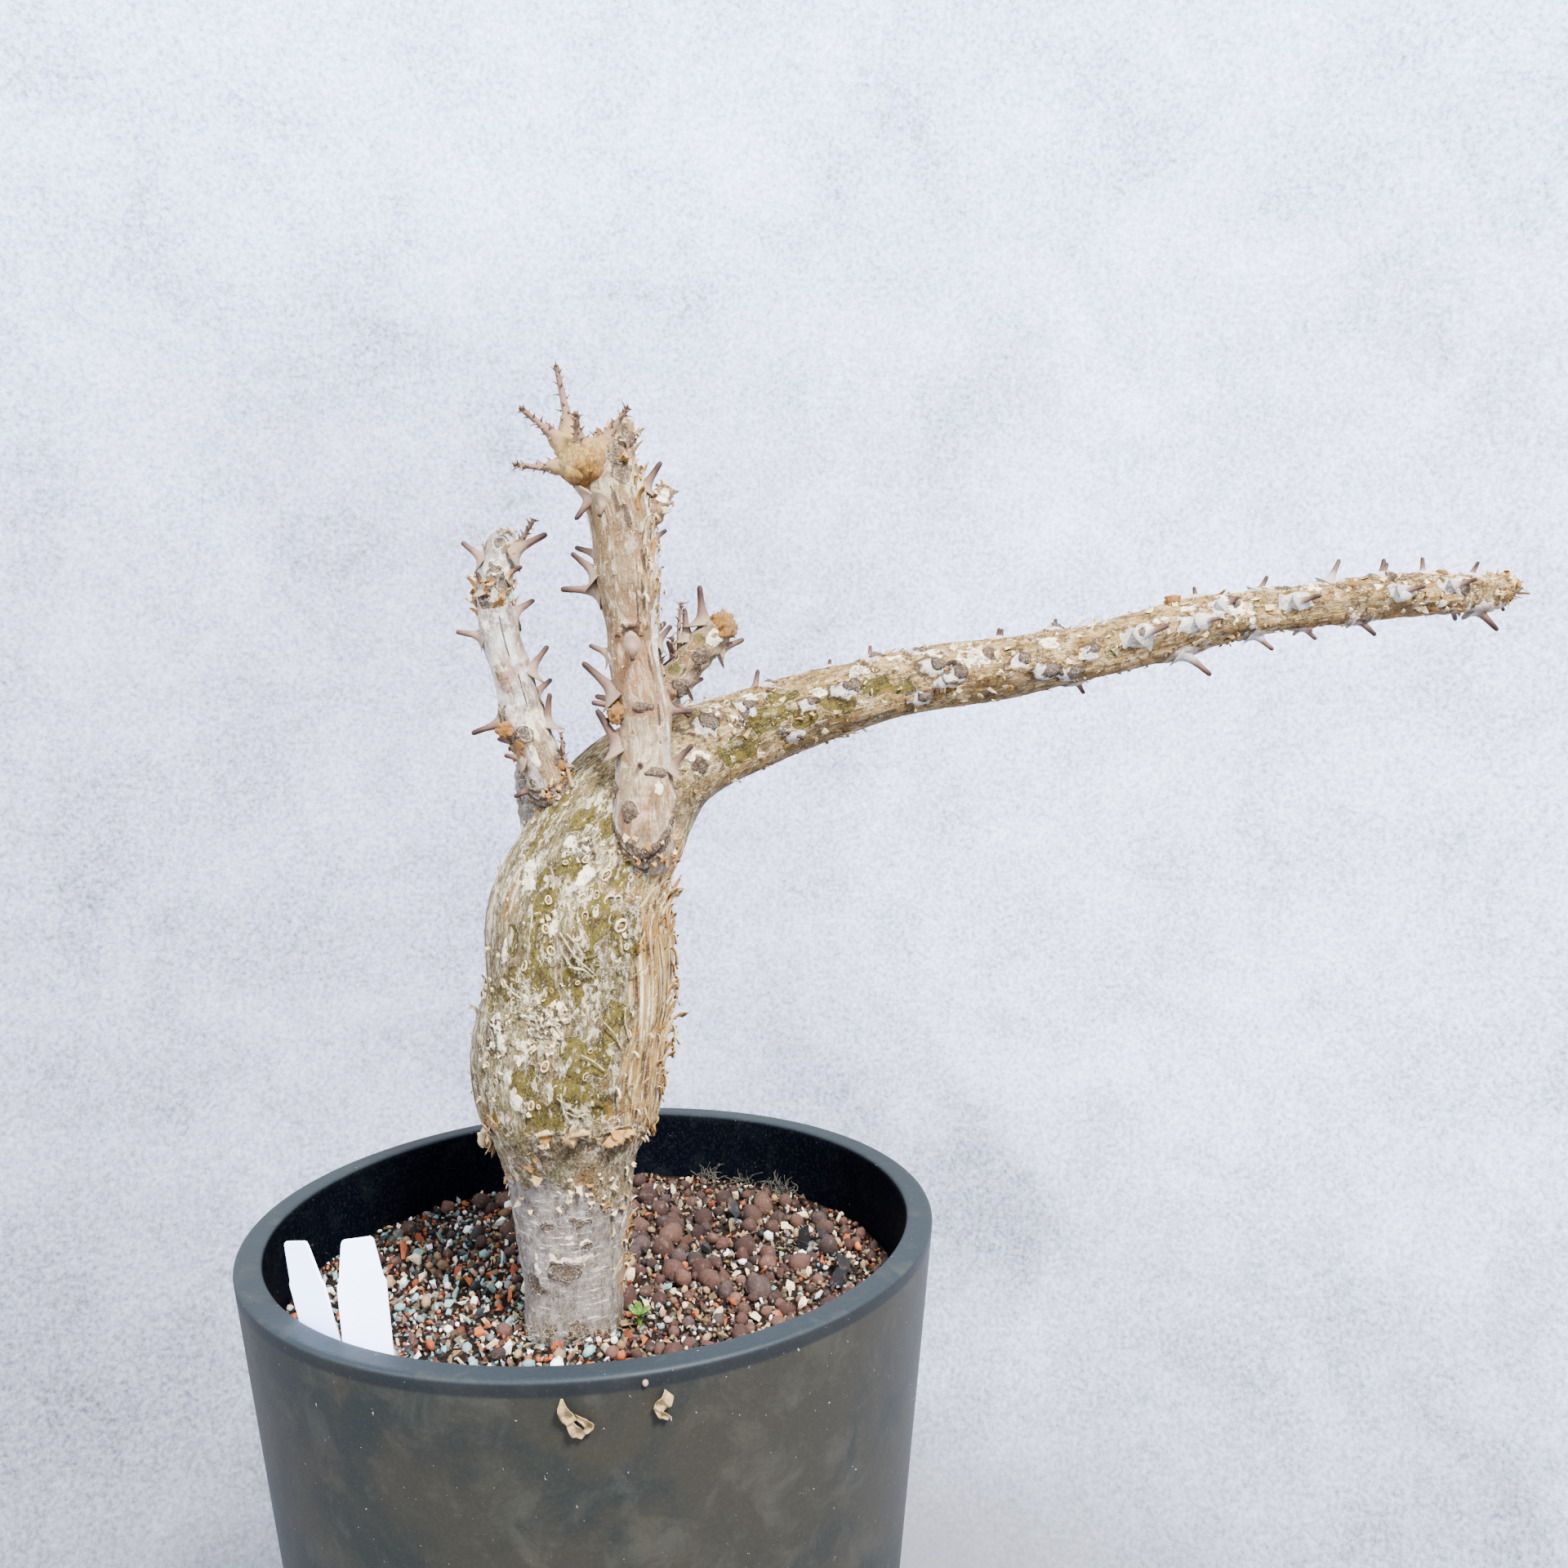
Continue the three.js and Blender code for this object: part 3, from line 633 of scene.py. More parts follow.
def potMaterial(look):
    material, shader = newMaterial("dustyPot", 0.5, 0.42)
    axes, inMm = axesOf(addNode("ShaderNodeTexCoord")["Object"]), placeInMm()
    flat = mathOf("SQRT", axes["X"] ** 2 + axes["Y"] ** 2)
    outer = axes["Z"] * look["lean"] + potRadius(look, 0) * mm
    inside = rampOf(outer - flat, 0.0078, 0.0085)
    top = look["height"] * mm
    onRim = rampOf(axes["Z"], top - 0.0012, top - 0.0006)
    below = rampOf(axes["Z"], top - 0.0052, top - 0.004)
    broad = noiseOf(inMm, 0.02, 4, 0.62, 0.4)
    cloudy = noiseOf(inMm, 0.07, 5, 0.65, 0.5)
    fine = noiseOf(inMm, 0.9, 4, 0.7)
    face = mixOf(rampOf(broad, 0.42, 0.62), look["face"], look["faceDark"])
    face = mixOf(rampOf(cloudy, 0.45, 0.7) * 0.28, face, look["dust"])
    face = mixOf(below * (0.62 + fine * 0.3), face, look["band"])
    # rim top: the dark clay with a bluish tint that is a painted reflection of the sky
    rim = mixOf(rampOf(cloudy, 0.5, 0.75) * 0.3, look["rim"], look["dust"])
    # painted shade: inside the pot the wall, the floor and their dust are painted near black
    shadedInside = mixOf(rampOf(cloudy, 0.5, 0.8), look["inside"], look["insideDust"])
    colour = mixOf(inside, mixOf(onRim, face, rim), shadedInside)
    grime = mixOf(rampOf(fine, 0.45, 0.55), look["soot"], look["dust"])
    colour = mixOf(abs((fine - 0.5) * 0.5), colour, grime)
    specks, dots = flecksOn(inMm, 0.55, 0, 0.02), flecksOn(inMm, 1.6, -0.02, 0.03)
    scratch = flecksOn(stretched(inMm, (0.22, 1.4, 3)), 0.7, -0.1, 0.01)
    marks = largest(specks, dots, scratch * onRim)
    feed(shader["Roughness"], 0.38 + cloudy * 0.3)
    feed(shader["Specular IOR Level"], mixOf(inside, (0.16, 0.16, 0.16), (0.008, 0.008, 0.008)))
    # specks are dimmer inside the pot: painted shade
    colour = mixOf(marks * 0.75 * (1 - inside * 0.75), colour, look["speck"])
    paint(shader, colour, fine * 0.6 + cloudy * 1.6 + marks * 0.5, 0.00012, 0.8)
    return material


def makePot(look):
    profile, sides = potProfile(look), look["sides"]
    points = turned(profile, sides)
    wall = ease(70, 90, np.repeat(profile[:, :1], sides, 1))
    wobble = layered(points, 42, 3, 2) * look["wobble"] * wall
    away = points[..., :2] / np.maximum(np.linalg.norm(points[..., :2], axis=-1, keepdims=True), 1e-6)
    points[..., :2] += wobble[..., None] * away
    points = np.vstack([points.reshape(-1, 3), [0, 0, profile[0, 1]], [0, 0, profile[-1, 1]]])
    body = makePiece("pot_wall", makeMesh("pot_wall", points, gridFaces(len(profile), sides)),
                     potMaterial(look))
    body.data.flip_normals()
    cutter = bmesh.new()
    for i in range(look["drainCount"]):
        turn = (i + 0.5) / look["drainCount"] * 2 * math.pi
        place = Vector((math.cos(turn), math.sin(turn), 0)) * look["drainRing"] * mm
        place.z = look["floor"] / 2 * mm
        bmesh.ops.create_cone(cutter, cap_ends=True, segments=40, radius1=look["drainRadius"] * mm,
                              radius2=look["drainRadius"] * mm, depth=4 * look["floor"] * mm,
                              matrix=Matrix.Translation(place))
    drains = makePiece("drains", meshOf(cutter, "drains"))
    holes = body.modifiers.new("drains", "BOOLEAN")
    holes.operation, holes.object, holes.solver = "DIFFERENCE", drains, "EXACT"
    bakeModifiers(body)
    bpy.data.objects.remove(drains)
    body.data.shade_smooth()
    sharpen(body, 35)
    return keepPiece(body, "pot_clay", "pot")


def meshOf(work, name):  # a bmesh becomes a mesh
    mesh = bpy.data.meshes.new(name)
    work.to_mesh(mesh)
    work.free()
    return mesh


def bakeModifiers(piece):
    bpy.context.view_layer.update()
    depsgraph = bpy.context.evaluated_depsgraph_get()
    evaluated = piece.evaluated_get(depsgraph)
    made = bpy.data.meshes.new_from_object(evaluated, preserve_all_data_layers=True, depsgraph=depsgraph)
    piece.modifiers.clear()
    piece.data = made


def sharpen(piece, degrees):
    work = bmesh.new()
    work.from_mesh(piece.data)
    for edge in work.edges:
        edge.smooth = not (len(edge.link_faces) == 2 and edge.calc_face_angle() > math.radians(degrees))
    work.to_mesh(piece.data)
    work.free()


makePot(potLook)
print("pot made")


# Bark: one material for each kind of stem, all built the same way

def barkMaterial(name, look):
    material, shader = newMaterial(name, 0.85, 0.2)
    grain, reach = fieldOf("grain", "Vector"), fieldOf("reach")
    near = 1 - reach

    def ragged(label, scale, tear, softness):
        return useGroup(raggedEdge, Mask=fieldOf(label), Vector=grain, Scale=scale, Tear=tear,
                        Softness=softness)

    def scraps(scale, tear):
        stretch = look["scrapStretch"]
        return useGroup(paperScraps, Vector=grain, Scale=scale * look["scrapScale"], Stretch=stretch,
                        Tear=tear)

    lines = {"Scale": look["grainScale"], "Stretch": look["stretch"], "Crack": look["crackWidth"]}
    lines = useGroup(longGrain, Vector=grain, **lines)
    large, small = scraps(1, 2.6), scraps(2.6, 1.3)
    blotch = noiseOf(grain, 0.1, 4, 0.62, 0.5)
    medium = noiseOf(stretched(grain, (1, 1, 0.55)), 0.42, 4, 0.66, 0.4)
    fibre = noiseOf(stretched(grain, (1, 1, 0.07)), 1.9, 3, 0.6)

    # the thin outer film, from the foot of the limb to its top and out along the branch
    wide = rampOf(blotch, 0.36, 0.62)
    low, high, far = (mixOf(wide, *look[key]) for key in ("filmLow", "filmHigh", "filmFar"))
    misty = rampOf(noiseOf(stretched(grain, (1, 1, 0.5)), 0.15, 3, 0.6), 0.5, 0.66)
    grainy = 0.45 + near * 0.55
    under = mixOf(rampOf(medium, 0.38, 0.62), *look["under"])
    thin = fieldOf("film") + (medium - 0.5) * 0.9
    film = coated(mixOf(fieldOf("rise"), low, high), [
        (misty * look["mist"], look["mistColour"]),
        (reach, far),
        (rampOf(large["Shade"], 0.4, 0.12) * look["tanShare"], look["tan"]),
        (rampOf(lines["Streak"], 0.5, 0.72) * look["streak"] * grainy, look["streakColour"]),
        (rampOf(medium, 0.54, 0.72) * look["bleach"], look["crust"]),
        (rampOf(fibre, 0.54, 0.68) * look["fibre"], look["crust"]),
        (rampOf(fibre, 0.46, 0.32) * look["fibre"] * grainy, look["tan"]),
        (rampOf(medium, 0.48, 0.34) * look["seeThrough"], under),
        (rampOf(thin, 0.95, 0.5) * look["veil"], under),  # thin where it tears
    ])
    torn = ragged("film", 0.55, 0.7, 0.035)

    # golden strips and old silvery bark
    strips = noiseOf(stretched(grain, (1, 1, 0.035)), 0.95, 4, 0.6, 0.15)
    stripColour = coated(mixOf(rampOf(strips, 0.42, 0.56), look["gold"], look["cream"]), [
        (rampOf(strips, 0.455, 0.41) * 0.9, look["dark"]),
        (rampOf(strips, 0.58, 0.66), look["crust"]),
    ])
    stripMask = ragged("strip", 0.3, 0.8, 0.22)["Mask"]
    silverMask = ragged("silver", 0.5, 0.5, 0.12)["Mask"]
    wrinkle = noiseOf(stretched(grain, (0.16, 0.16, 1)), 1.1, 4, 0.6, 0.3)
    silver = coated(mixOf(rampOf(medium, 0.35, 0.65), *look["silver"]), [
        (rampOf(wrinkle, 0.56, 0.7) * 0.75, look["white"]),
        (rampOf(wrinkle, 0.44, 0.3) * 0.5, look["tan"]),
        (reach * 0.45, look["white"]),
    ])
    bare = 1 - largest(silverMask * 0.8, stripMask * 0.75)

    # white scale: small scraps, specks and the marked patches
    mixed = large["Shade"] * 0.62 + small["Shade"] * 0.38
    flaky = rampOf(mixed, 0.66, 0.7) * rampOf(blotch, 0.4, 0.56) * bare
    flaky = flaky * look["whiteShare"] * (0.3 + near * 0.7)
    specks = flecksOn(grain, look["fleckScale"], look["fleckCover"], 0.05)
    specks = specks * rampOf(noiseOf(grain, 0.16, 2), 0.42, 0.58) * bare * (0.45 + near * 0.55)
    white = largest(flaky, specks, ragged("pale", 0.9, 0.75, 0.07)["Mask"])

    # brown crumbly nodules, scars, torn lines and cracks
    crumble = noiseOf(grain, 1.5, 4, 0.7, 0.5)
    crumbColour = mixOf(rampOf(crumble, 0.42, 0.62), *look["crumb"])
    crumbColour = mixOf(rampOf(abs(crumble - 0.5), 0.028, 0.008) * 0.9, crumbColour, look["dark"])
    crumbMask = ragged("crumb", 0.9, 0.6, 0.08)["Mask"]
    tears = largest(large["Line"] * 0.85, small["Line"] * 0.55) * (bare * look["line"])
    dark = largest(tears, lines["Crack"] * look["crack"], ragged("scar", 1.1, 0.7, 0.1)["Mask"] * 0.9)
    shade = abs(lines["Fine"] - 0.5) * look["mottle"] * (0.4 + torn["Mask"] * 0.6) * (0.4 + near * 0.6)
    colour = coated(mixOf(torn["Mask"], under, film), [
        (stripMask * 0.92, stripColour),
        (silverMask * 0.92, silver),
        (ragged("warm", 0.45, 0.9, 0.3)["Mask"] * 0.7, look["warm"]),
        (torn["Rim"] * (bare * look["rim"]), look["crust"]),
        (white * 0.88, look["crust"]),
        (crumbMask * 0.95, crumbColour),
        (dark, look["dark"]),
        (shade, mixOf(rampOf(lines["Fine"], 0.48, 0.52), look["dark"], look["crust"])),
    ])
    feed(shader["Roughness"], 0.6 + medium * 0.4)
    height = torn["Mask"] * 0.45 + white * 0.35 + mixed * bare * look["relief"]
    height = height + (lines["Streak"] * 0.7 + shade * 0.6) + (fibre * 0.25 + strips * stripMask * 1.6)
    paint(shader, colour, height + crumble * crumbMask * 1.4 - dark * 0.45, 0.0013, look["bump"])
    return material


def wrapped(angle):
    return (angle + np.pi) % (2 * np.pi) - np.pi


# Marks on bark, by kind: (place, degrees round, reach along, reach round). Each lifts and colours the skin
markKeys = ("film", "scar", "pale", "warm", "silver", "crumb", "strip")


def markFields(limb, axis, marks, arc, angles, radius, grain, seed, halo):
    lift, film, scar, pale, warm, silver, crumb, strip = np.zeros((8, *grain.shape[:2]))
    rough = 0.34 * softNoise(grain, 1.9, seed) + 0.34 * softNoise(grain, 3.8, seed + 1)
    crumble = layered(grain, 2, seed + 2, 2)
    everyMark = [(kind, *mark) for kind in marks for mark in marks[kind]]
    for kind, place, degrees, reachAlong, reachRound in everyMark:
        du = (arc - limb.arcWhere(axis, place))[:, None] / reachAlong
        dv = radius * wrapped(angles[None] - math.radians(degrees)) / reachRound
        near = np.hypot(du, dv) * (1 + rough)
        if kind == "bare":  # the film is gone and the green shows
            film -= 1.2 * ease(1.5, 0.75, near)
            pale -= 0.5 * ease(1.2, 0.8, near)
            lift -= 0.14 * ease(1.1, 0.8, near)
        elif kind == "crust":  # white crumbs broken by dark brown cracks
            inside = ease(1.15, 0.75, near)
            crack = inside * peak(crumble, 0, 0.13)
            lift += inside * (0.7 + 0.5 * crumble) - 0.5 * crack
            pale += inside * (1 - 0.5 * np.abs(crumble)) - 1.2 * crack
            crumb += inside * (0.3 - crumble)
            scar += 0.95 * crack
        elif kind == "hood":  # pale lobes in a horseshoe over a stub, with a brown hollow between them
            lobes = peak(near, 0.85, 0.26) * ease(-0.45, 0.1, du)
            split = np.abs(np.cos(3 * np.arctan2(dv, du)))
            lift += lobes * (0.5 + 0.7 * split)
            pale += lobes * (0.62 * split - 0.12)
            scar += lobes * 1.1 * ease(0.6, 0.2, split) + 1.1 * peak(near, 0.5, 0.12) * (du > 0)
            crumb += 0.9 * ease(0.7, 0.4, near) * ease(-0.3, 0.1, du)
            warm += 1.2 * ease(1.9, 0.9, np.hypot(0.55 * (du + 1.1), 1.1 * dv))
        elif kind == "eye":  # an old leaf scar: a raised broken outline round a sunken, crumbly middle
            rim = peak(near, 0.9, 0.16)
            lift += 0.4 * rim - 0.2 * ease(0.8, 0.3, near)
            scar += rim * (0.75 + 0.7 * crumble)
            crumb += 0.62 * ease(0.95, 0.6, near)
            pale += halo * 0.75 * peak(near, 1.25, 0.2) * ease(-0.5, 0.4, du)
        elif kind == "boss":  # a silvery swelling with a brown crumbly scar above it
            swell = ease(1.35, 0.45, near)
            silver += swell * (0.85 + 0.7 * crumble)
            scar += 0.95 * peak(near, 1.08, 0.13) * ease(0.3, -0.3, du - 0.6 * dv)
            knob = np.hypot(du - 0.5, dv - 0.3) * (1 + rough) / 0.62
            lift += 1.15 * swell * (1 - 0.45 * ease(0.2, 1, du))
            lift += 0.75 * ease(1.1, 0.4, knob) * (1 + 0.5 * crumble)
            crumb += 1.1 * ease(1.2, 0.75, knob)
            scar += 0.8 * peak(knob, 1, 0.14)
        elif kind == "nodule":  # a round brown crumb in a pale setting
            lift += 0.85 * ease(1.15, 0.3, near) * (1 + 0.5 * crumble)
            crumb += 1.2 * ease(1.15, 0.75, near)
            scar += 0.8 * peak(near, 1.02, 0.13) * ease(0.6, -0.2, du)
            pale += halo * 0.8 * peak(near, 1.5, 0.35)
            warm += (1 - halo) * 0.9 * ease(2.4, 1, np.hypot(du + 0.7, dv))
        elif kind == "foot":  # the silvery foot of a spine
            lift += 1.2 * ease(1.5, 0.2, near)
            silver += 1.15 * ease(1.35, 0.7, near)
            scar += 0.6 * peak(near, 1.2, 0.12) * ease(0.2, -0.4, du - 0.5 * dv)
        elif kind == "warm":  # a warm stain
            warm += 0.85 * ease(1.6, 0.3, near)
        elif kind == "white":  # white scale
            pale += ease(1.4, 0.5, near) * (0.72 + 1.1 * crumble)
            lift += ease(1.1, 0.8, near) * (0.15 + 0.3 * crumble)
        elif kind == "slit":  # a short dark crack
            scar += ease(1.15, 0.6, near)
            lift -= 0.25 * ease(1, 0.5, near)
    return lift, dict(zip(markKeys, (film, scar, pale, warm, silver, crumb, strip)))


def aroundTable(table, angles):  # heights listed by degrees round a limb, at any angles
    keys = np.array(table, float)
    return np.interp(np.degrees(angles) % 360, np.append(keys[:, 0], 360),
                     np.append(keys[:, 1], keys[0, 1]))


def cappedFields(fields):
    return {key: np.clip(values, -0.25, 1.25) for key, values in fields.items()}


# The trunk and the long branch: one line, parted where the branch begins

leaderLine = [
    [-8, -20, 148, 13.6], [-8, -20, 158, 15], [-7.6, -20, 170, 15.3], [-7, -20, 183, 15.7],
    [-7, -20, 196, 16.5], [-6.7, -20, 209, 17.7], [-6.7, -20, 220, 19.4], [-6.8, -20, 230, 22.8],
    [-6.8, -20, 240, 27], [-6.5, -20.5, 252, 29], [-5.2, -21, 264, 29.3], [-2.8, -21, 277, 28.3],
    [-2.1, -21, 289, 28.2], [-1.8, -21, 299, 27.6], [0.3, -20, 309, 26], [4.2, -19, 318.5, 23.8],
    [10, -17, 328, 22.4], [18, -14, 337.5, 20.2], [28.5, -10, 345.5, 17.2], [40, -6, 350.5, 14.6],
    [55, -2, 355.5, 12.9], [72, 0, 360.8, 11.7], [88, 0, 364.8, 11.2], [105, 0, 369.2, 11],
    [122, 0, 371.8, 10.4], [139, 0, 373.3, 9.7], [156, 0, 376, 9.5], [173, 0, 379, 9.3], [190, 0, 382.8, 9],
    [208, 0, 387, 8.7], [226, 0, 390, 7.8], [244, 0, 392.3, 7.5], [262, 0, 394.3, 7.4],
    [281, 0, 395.8, 7.2], [299, 0, 396.4, 6.9], [310, 0, 396.8, 6.4], [319, 0, 397.4, 5.5],
    [326, 0, 398.4, 4.4], [330, 0, 399, 2.6],
]
branchStart = 19 / (len(leaderLine) - 1)
leader = Limb(leaderLine)

trunkLook = {
    "rows": 400, "sides": 230, "seed": 11, "filmLow": [(0.14, 0.09, 0.039), (0.2, 0.147, 0.083)],
    "filmHigh": [(0.118, 0.095, 0.032), (0.212, 0.158, 0.07)],
    "filmFar": [(0.17, 0.092, 0.019), (0.3, 0.186, 0.06)],
    "under": [(0.059, 0.044, 0.0047), (0.103, 0.075, 0.0087)], "crust": (0.96, 0.845, 0.635),
    "warm": (0.24, 0.113, 0.023), "gold": (0.24, 0.102, 0.012), "cream": (0.42, 0.268, 0.085),
    "silver": [(0.125, 0.1, 0.088), (0.26, 0.233, 0.222)],
    "crumb": [(0.077, 0.044, 0.028), (0.247, 0.187, 0.133)], "dark": (0.032, 0.017, 0.011),
    "tan": (0.15, 0.08, 0.023), "tanShare": 0.6, "streakColour": (0.087, 0.06, 0.02), "streak": 0.5,
    "mist": 0.6, "mistColour": (0.185, 0.185, 0.095), "rim": 0.5, "bleach": 0.22, "fibre": 0.36,
    "seeThrough": 0.5, "veil": 0.62, "grainScale": 0.55, "stretch": (1, 1, 0.12), "crackWidth": 0.014,
    "crack": 0.8, "scrapScale": 0.46, "scrapStretch": (1, 1, 0.45), "whiteShare": 0.5, "line": 0.9,
    "relief": 0.8, "fleckScale": 1.05, "fleckCover": 0.27, "mottle": 1.1, "bump": 1,
    "white": (0.88, 0.845, 0.81),
    "tornEdge": [  # [degrees, height] of the peeling film's lower edge
        [0, 236], [27, 233], [40, 238], [52, 241], [72, 240], [76, 237.5], [82, 239.8], [88, 243],
        [104, 243.2], [109, 237.5], [118, 230.5], [124, 234], [128, 238], [138, 242.5], [148, 241.7],
        [162, 235], [180, 231], [210, 238], [240, 232], [270, 240], [300, 233], [330, 239],
    ],
    "lowerEdge": [  # the same for the tan layer under it
        [0, 213], [29, 213], [46, 212], [59, 215], [72, 217], [76, 222.5], [90, 220.7], [102, 223.7],
        [110, 227], [123, 224.8], [130, 221], [146, 224.8], [169, 224.3], [200, 221], [230, 226],
        [260, 218], [290, 224], [320, 217],
    ],
    "marks": {
        "white": [
            (299.5, 106, 1.6, 1.4), (313.2, 98, 3.4, 2.8), (307.3, 128, 2.6, 2), (264.2, 120, 2.6, 2.8),
            (279.3, 122, 2, 1.6), (258, 127, 2.8, 2.2), (250.5, 121, 3.2, 2.6), (310, 132, 3, 2.4),
            (318, 114, 3, 2.6), (293, 140, 3.6, 2), (197.9, 131, 3.4, 1.1), (206.5, 93, 0.8, 1.8),
            (199.4, 88, 1, 5.4), (204.5, 84, 0.8, 4.4),
        ],
        "crust": [
            (318.6, 104, 3.2, 2.6), (271.9, 107, 7, 5.6), (266.7, 139, 5.5, 4), (252.7, 74, 2.4, 2),
            (278, 230, 4, 4.4), (296, 285, 3.4, 3.4), (306, 210, 3, 3),
        ],
        "bare": [
            (289.2, 112, 6.5, 3.3), (287.5, 88, 7, 4.4), (315.9, 73, 3.4, 3), (312.8, 106, 3, 3.4),
            (303.6, 81, 5, 4.4), (303.4, 112, 3.6, 2.6), (297.9, 66, 3.6, 2.4), (330.3, 112, 3.6, 4),
            (253.8, 88, 5.5, 5), (264.9, 74, 4, 3.2), (256.3, 116, 3.4, 3.6), (281.8, 108, 3.4, 2.6),
            (274, 69, 5, 2.6), (262.7, 53, 6, 3.6), (269.3, 30, 6, 3.4), (247, 104, 3.6, 4.4),
            (265.8, 90, 3.4, 2.8), (283, 134, 4.4, 3), (291, 50, 4, 2.2), (250, 70, 3.6, 3),
            (276, 150, 5, 3), (323, 118, 3, 2.4), (326, 96, 3.4, 2.6), (309, 118, 2.6, 2.4),
            (296, 134, 3, 2),
        ],
        "warm": [
            (225.9, 78, 2.6, 3), (189, 22, 9, 3), (200, 8, 10, 3.4), (243, 150, 6, 5), (246, 60, 6, 4),
            (312, 58, 4.5, 6), (303, 140, 4, 3),
        ],
        "eye": [
            (195.5, 96, 3, 5.2), (189.9, 135, 3.4, 2.8), (210.2, 82, 1.5, 2.6), (209.8, 112, 1.1, 2.2),
            (203.2, 76, 1.3, 1.8), (200, 200, 4, 5), (262, 262, 5, 4), (246, 310, 4, 4.4),
            (214, 250, 2.6, 3.2), (190, 300, 2.4, 3.4),
        ],
    }
}

# Spines are [height, or reach along X on the branch; degrees round; length; lean towards the tip]
branchSpines = [
    [66, 60, 3, 20], [84, 178, 3.2, 20], [98, 175, 4, 15], [118, 80, 4, 40], [140, 182, 4, 20],
    [160, 180, 4, 20], [165, 0, 4.5, 20], [186, 100, 9, 50], [201, 18, 11.5, 35], [207, 95, 6, 50],
    [211, 180, 4.2, 0], [217, 125, 5, 45], [228, 20, 8, 35], [233, 178, 5.5, 35], [243, 105, 7, 50],
    [247, 5, 6, 40], [258, 172, 8, 32], [267, 15, 8, 38], [278, 180, 5, 30], [281, 100, 7, 50],
    [294, 182, 6, 0], [302, 112, 6.5, 45], [311, 165, 5, 25], [313, 5, 11, 42], [322, 5, 3, 20],
]
branchMarks = {  # these places are along X
    "boss": [
        (37.3, 116, 5, 3.6), (53, 126, 4.4, 3), (63.9, 164, 3.4, 2.6), (72.7, 101, 3.4, 2.6),
        (86.1, 108, 4.6, 3.2), (98, 154, 4, 3.2), (110.3, 148, 3, 2.6), (114.2, 108, 4.4, 3),
        (121.3, 88, 3.8, 2.6), (109.5, 60, 4.6, 2.8), (144, 100, 3.6, 2.8), (168, 92, 3.4, 2.4),
        (152, 70, 4, 2.6), (160, 56, 4, 2.6), (159.9, 168, 3, 2.4), (150, 240, 4, 3), (190, 262, 3.6, 2.6),
        (226, 290, 3.4, 2.4), (262, 232, 3, 2.2), (70, 250, 4.4, 3), (100, 292, 4.4, 3),
        (120, 224, 3.6, 2.6), (290, 280, 2.8, 2.2),
    ],
    "nodule": [
        (134.3, 131, 2.6, 2.6), (30.4, 79, 2.6, 2.6), (185.3, 101, 2, 1.8), (221.2, 130, 2, 2),
        (260.2, 134, 2, 1.8), (269.2, 40, 2.4, 2), (305.5, 102, 2.2, 2), (240.9, 160, 2.2, 2),
        (280.3, 156, 2.2, 2),
    ],
    "bare": [
        (45, 74, 6, 4), (58, 100, 6.5, 3.4), (70, 82, 5, 3), (82, 92, 5, 3), (95, 98, 4.4, 2.6),
        (66, 130, 4.4, 2.2), (103, 84, 3.6, 1.8), (176, 84, 3, 2),
    ],
    "crust": [(48, 108, 3.4, 2.8), (62, 76, 3.4, 2.2)],
    "white": [
        (78, 116, 3.4, 2.4), (92, 128, 4.6, 3.4), (58, 142, 5, 3.4), (44, 132, 4, 3.4), (128, 124, 5, 3.6),
        (117, 136, 3.4, 2.6), (156, 128, 3.2, 2.6), (104, 140, 4, 3), (194, 124, 3, 2.2),
        (206, 140, 3, 2.2), (224, 90, 3.4, 1.8), (250, 136, 3.6, 2.4), (272, 120, 3, 2), (290, 130, 3, 2),
        (296, 60, 3, 2),
    ],
}


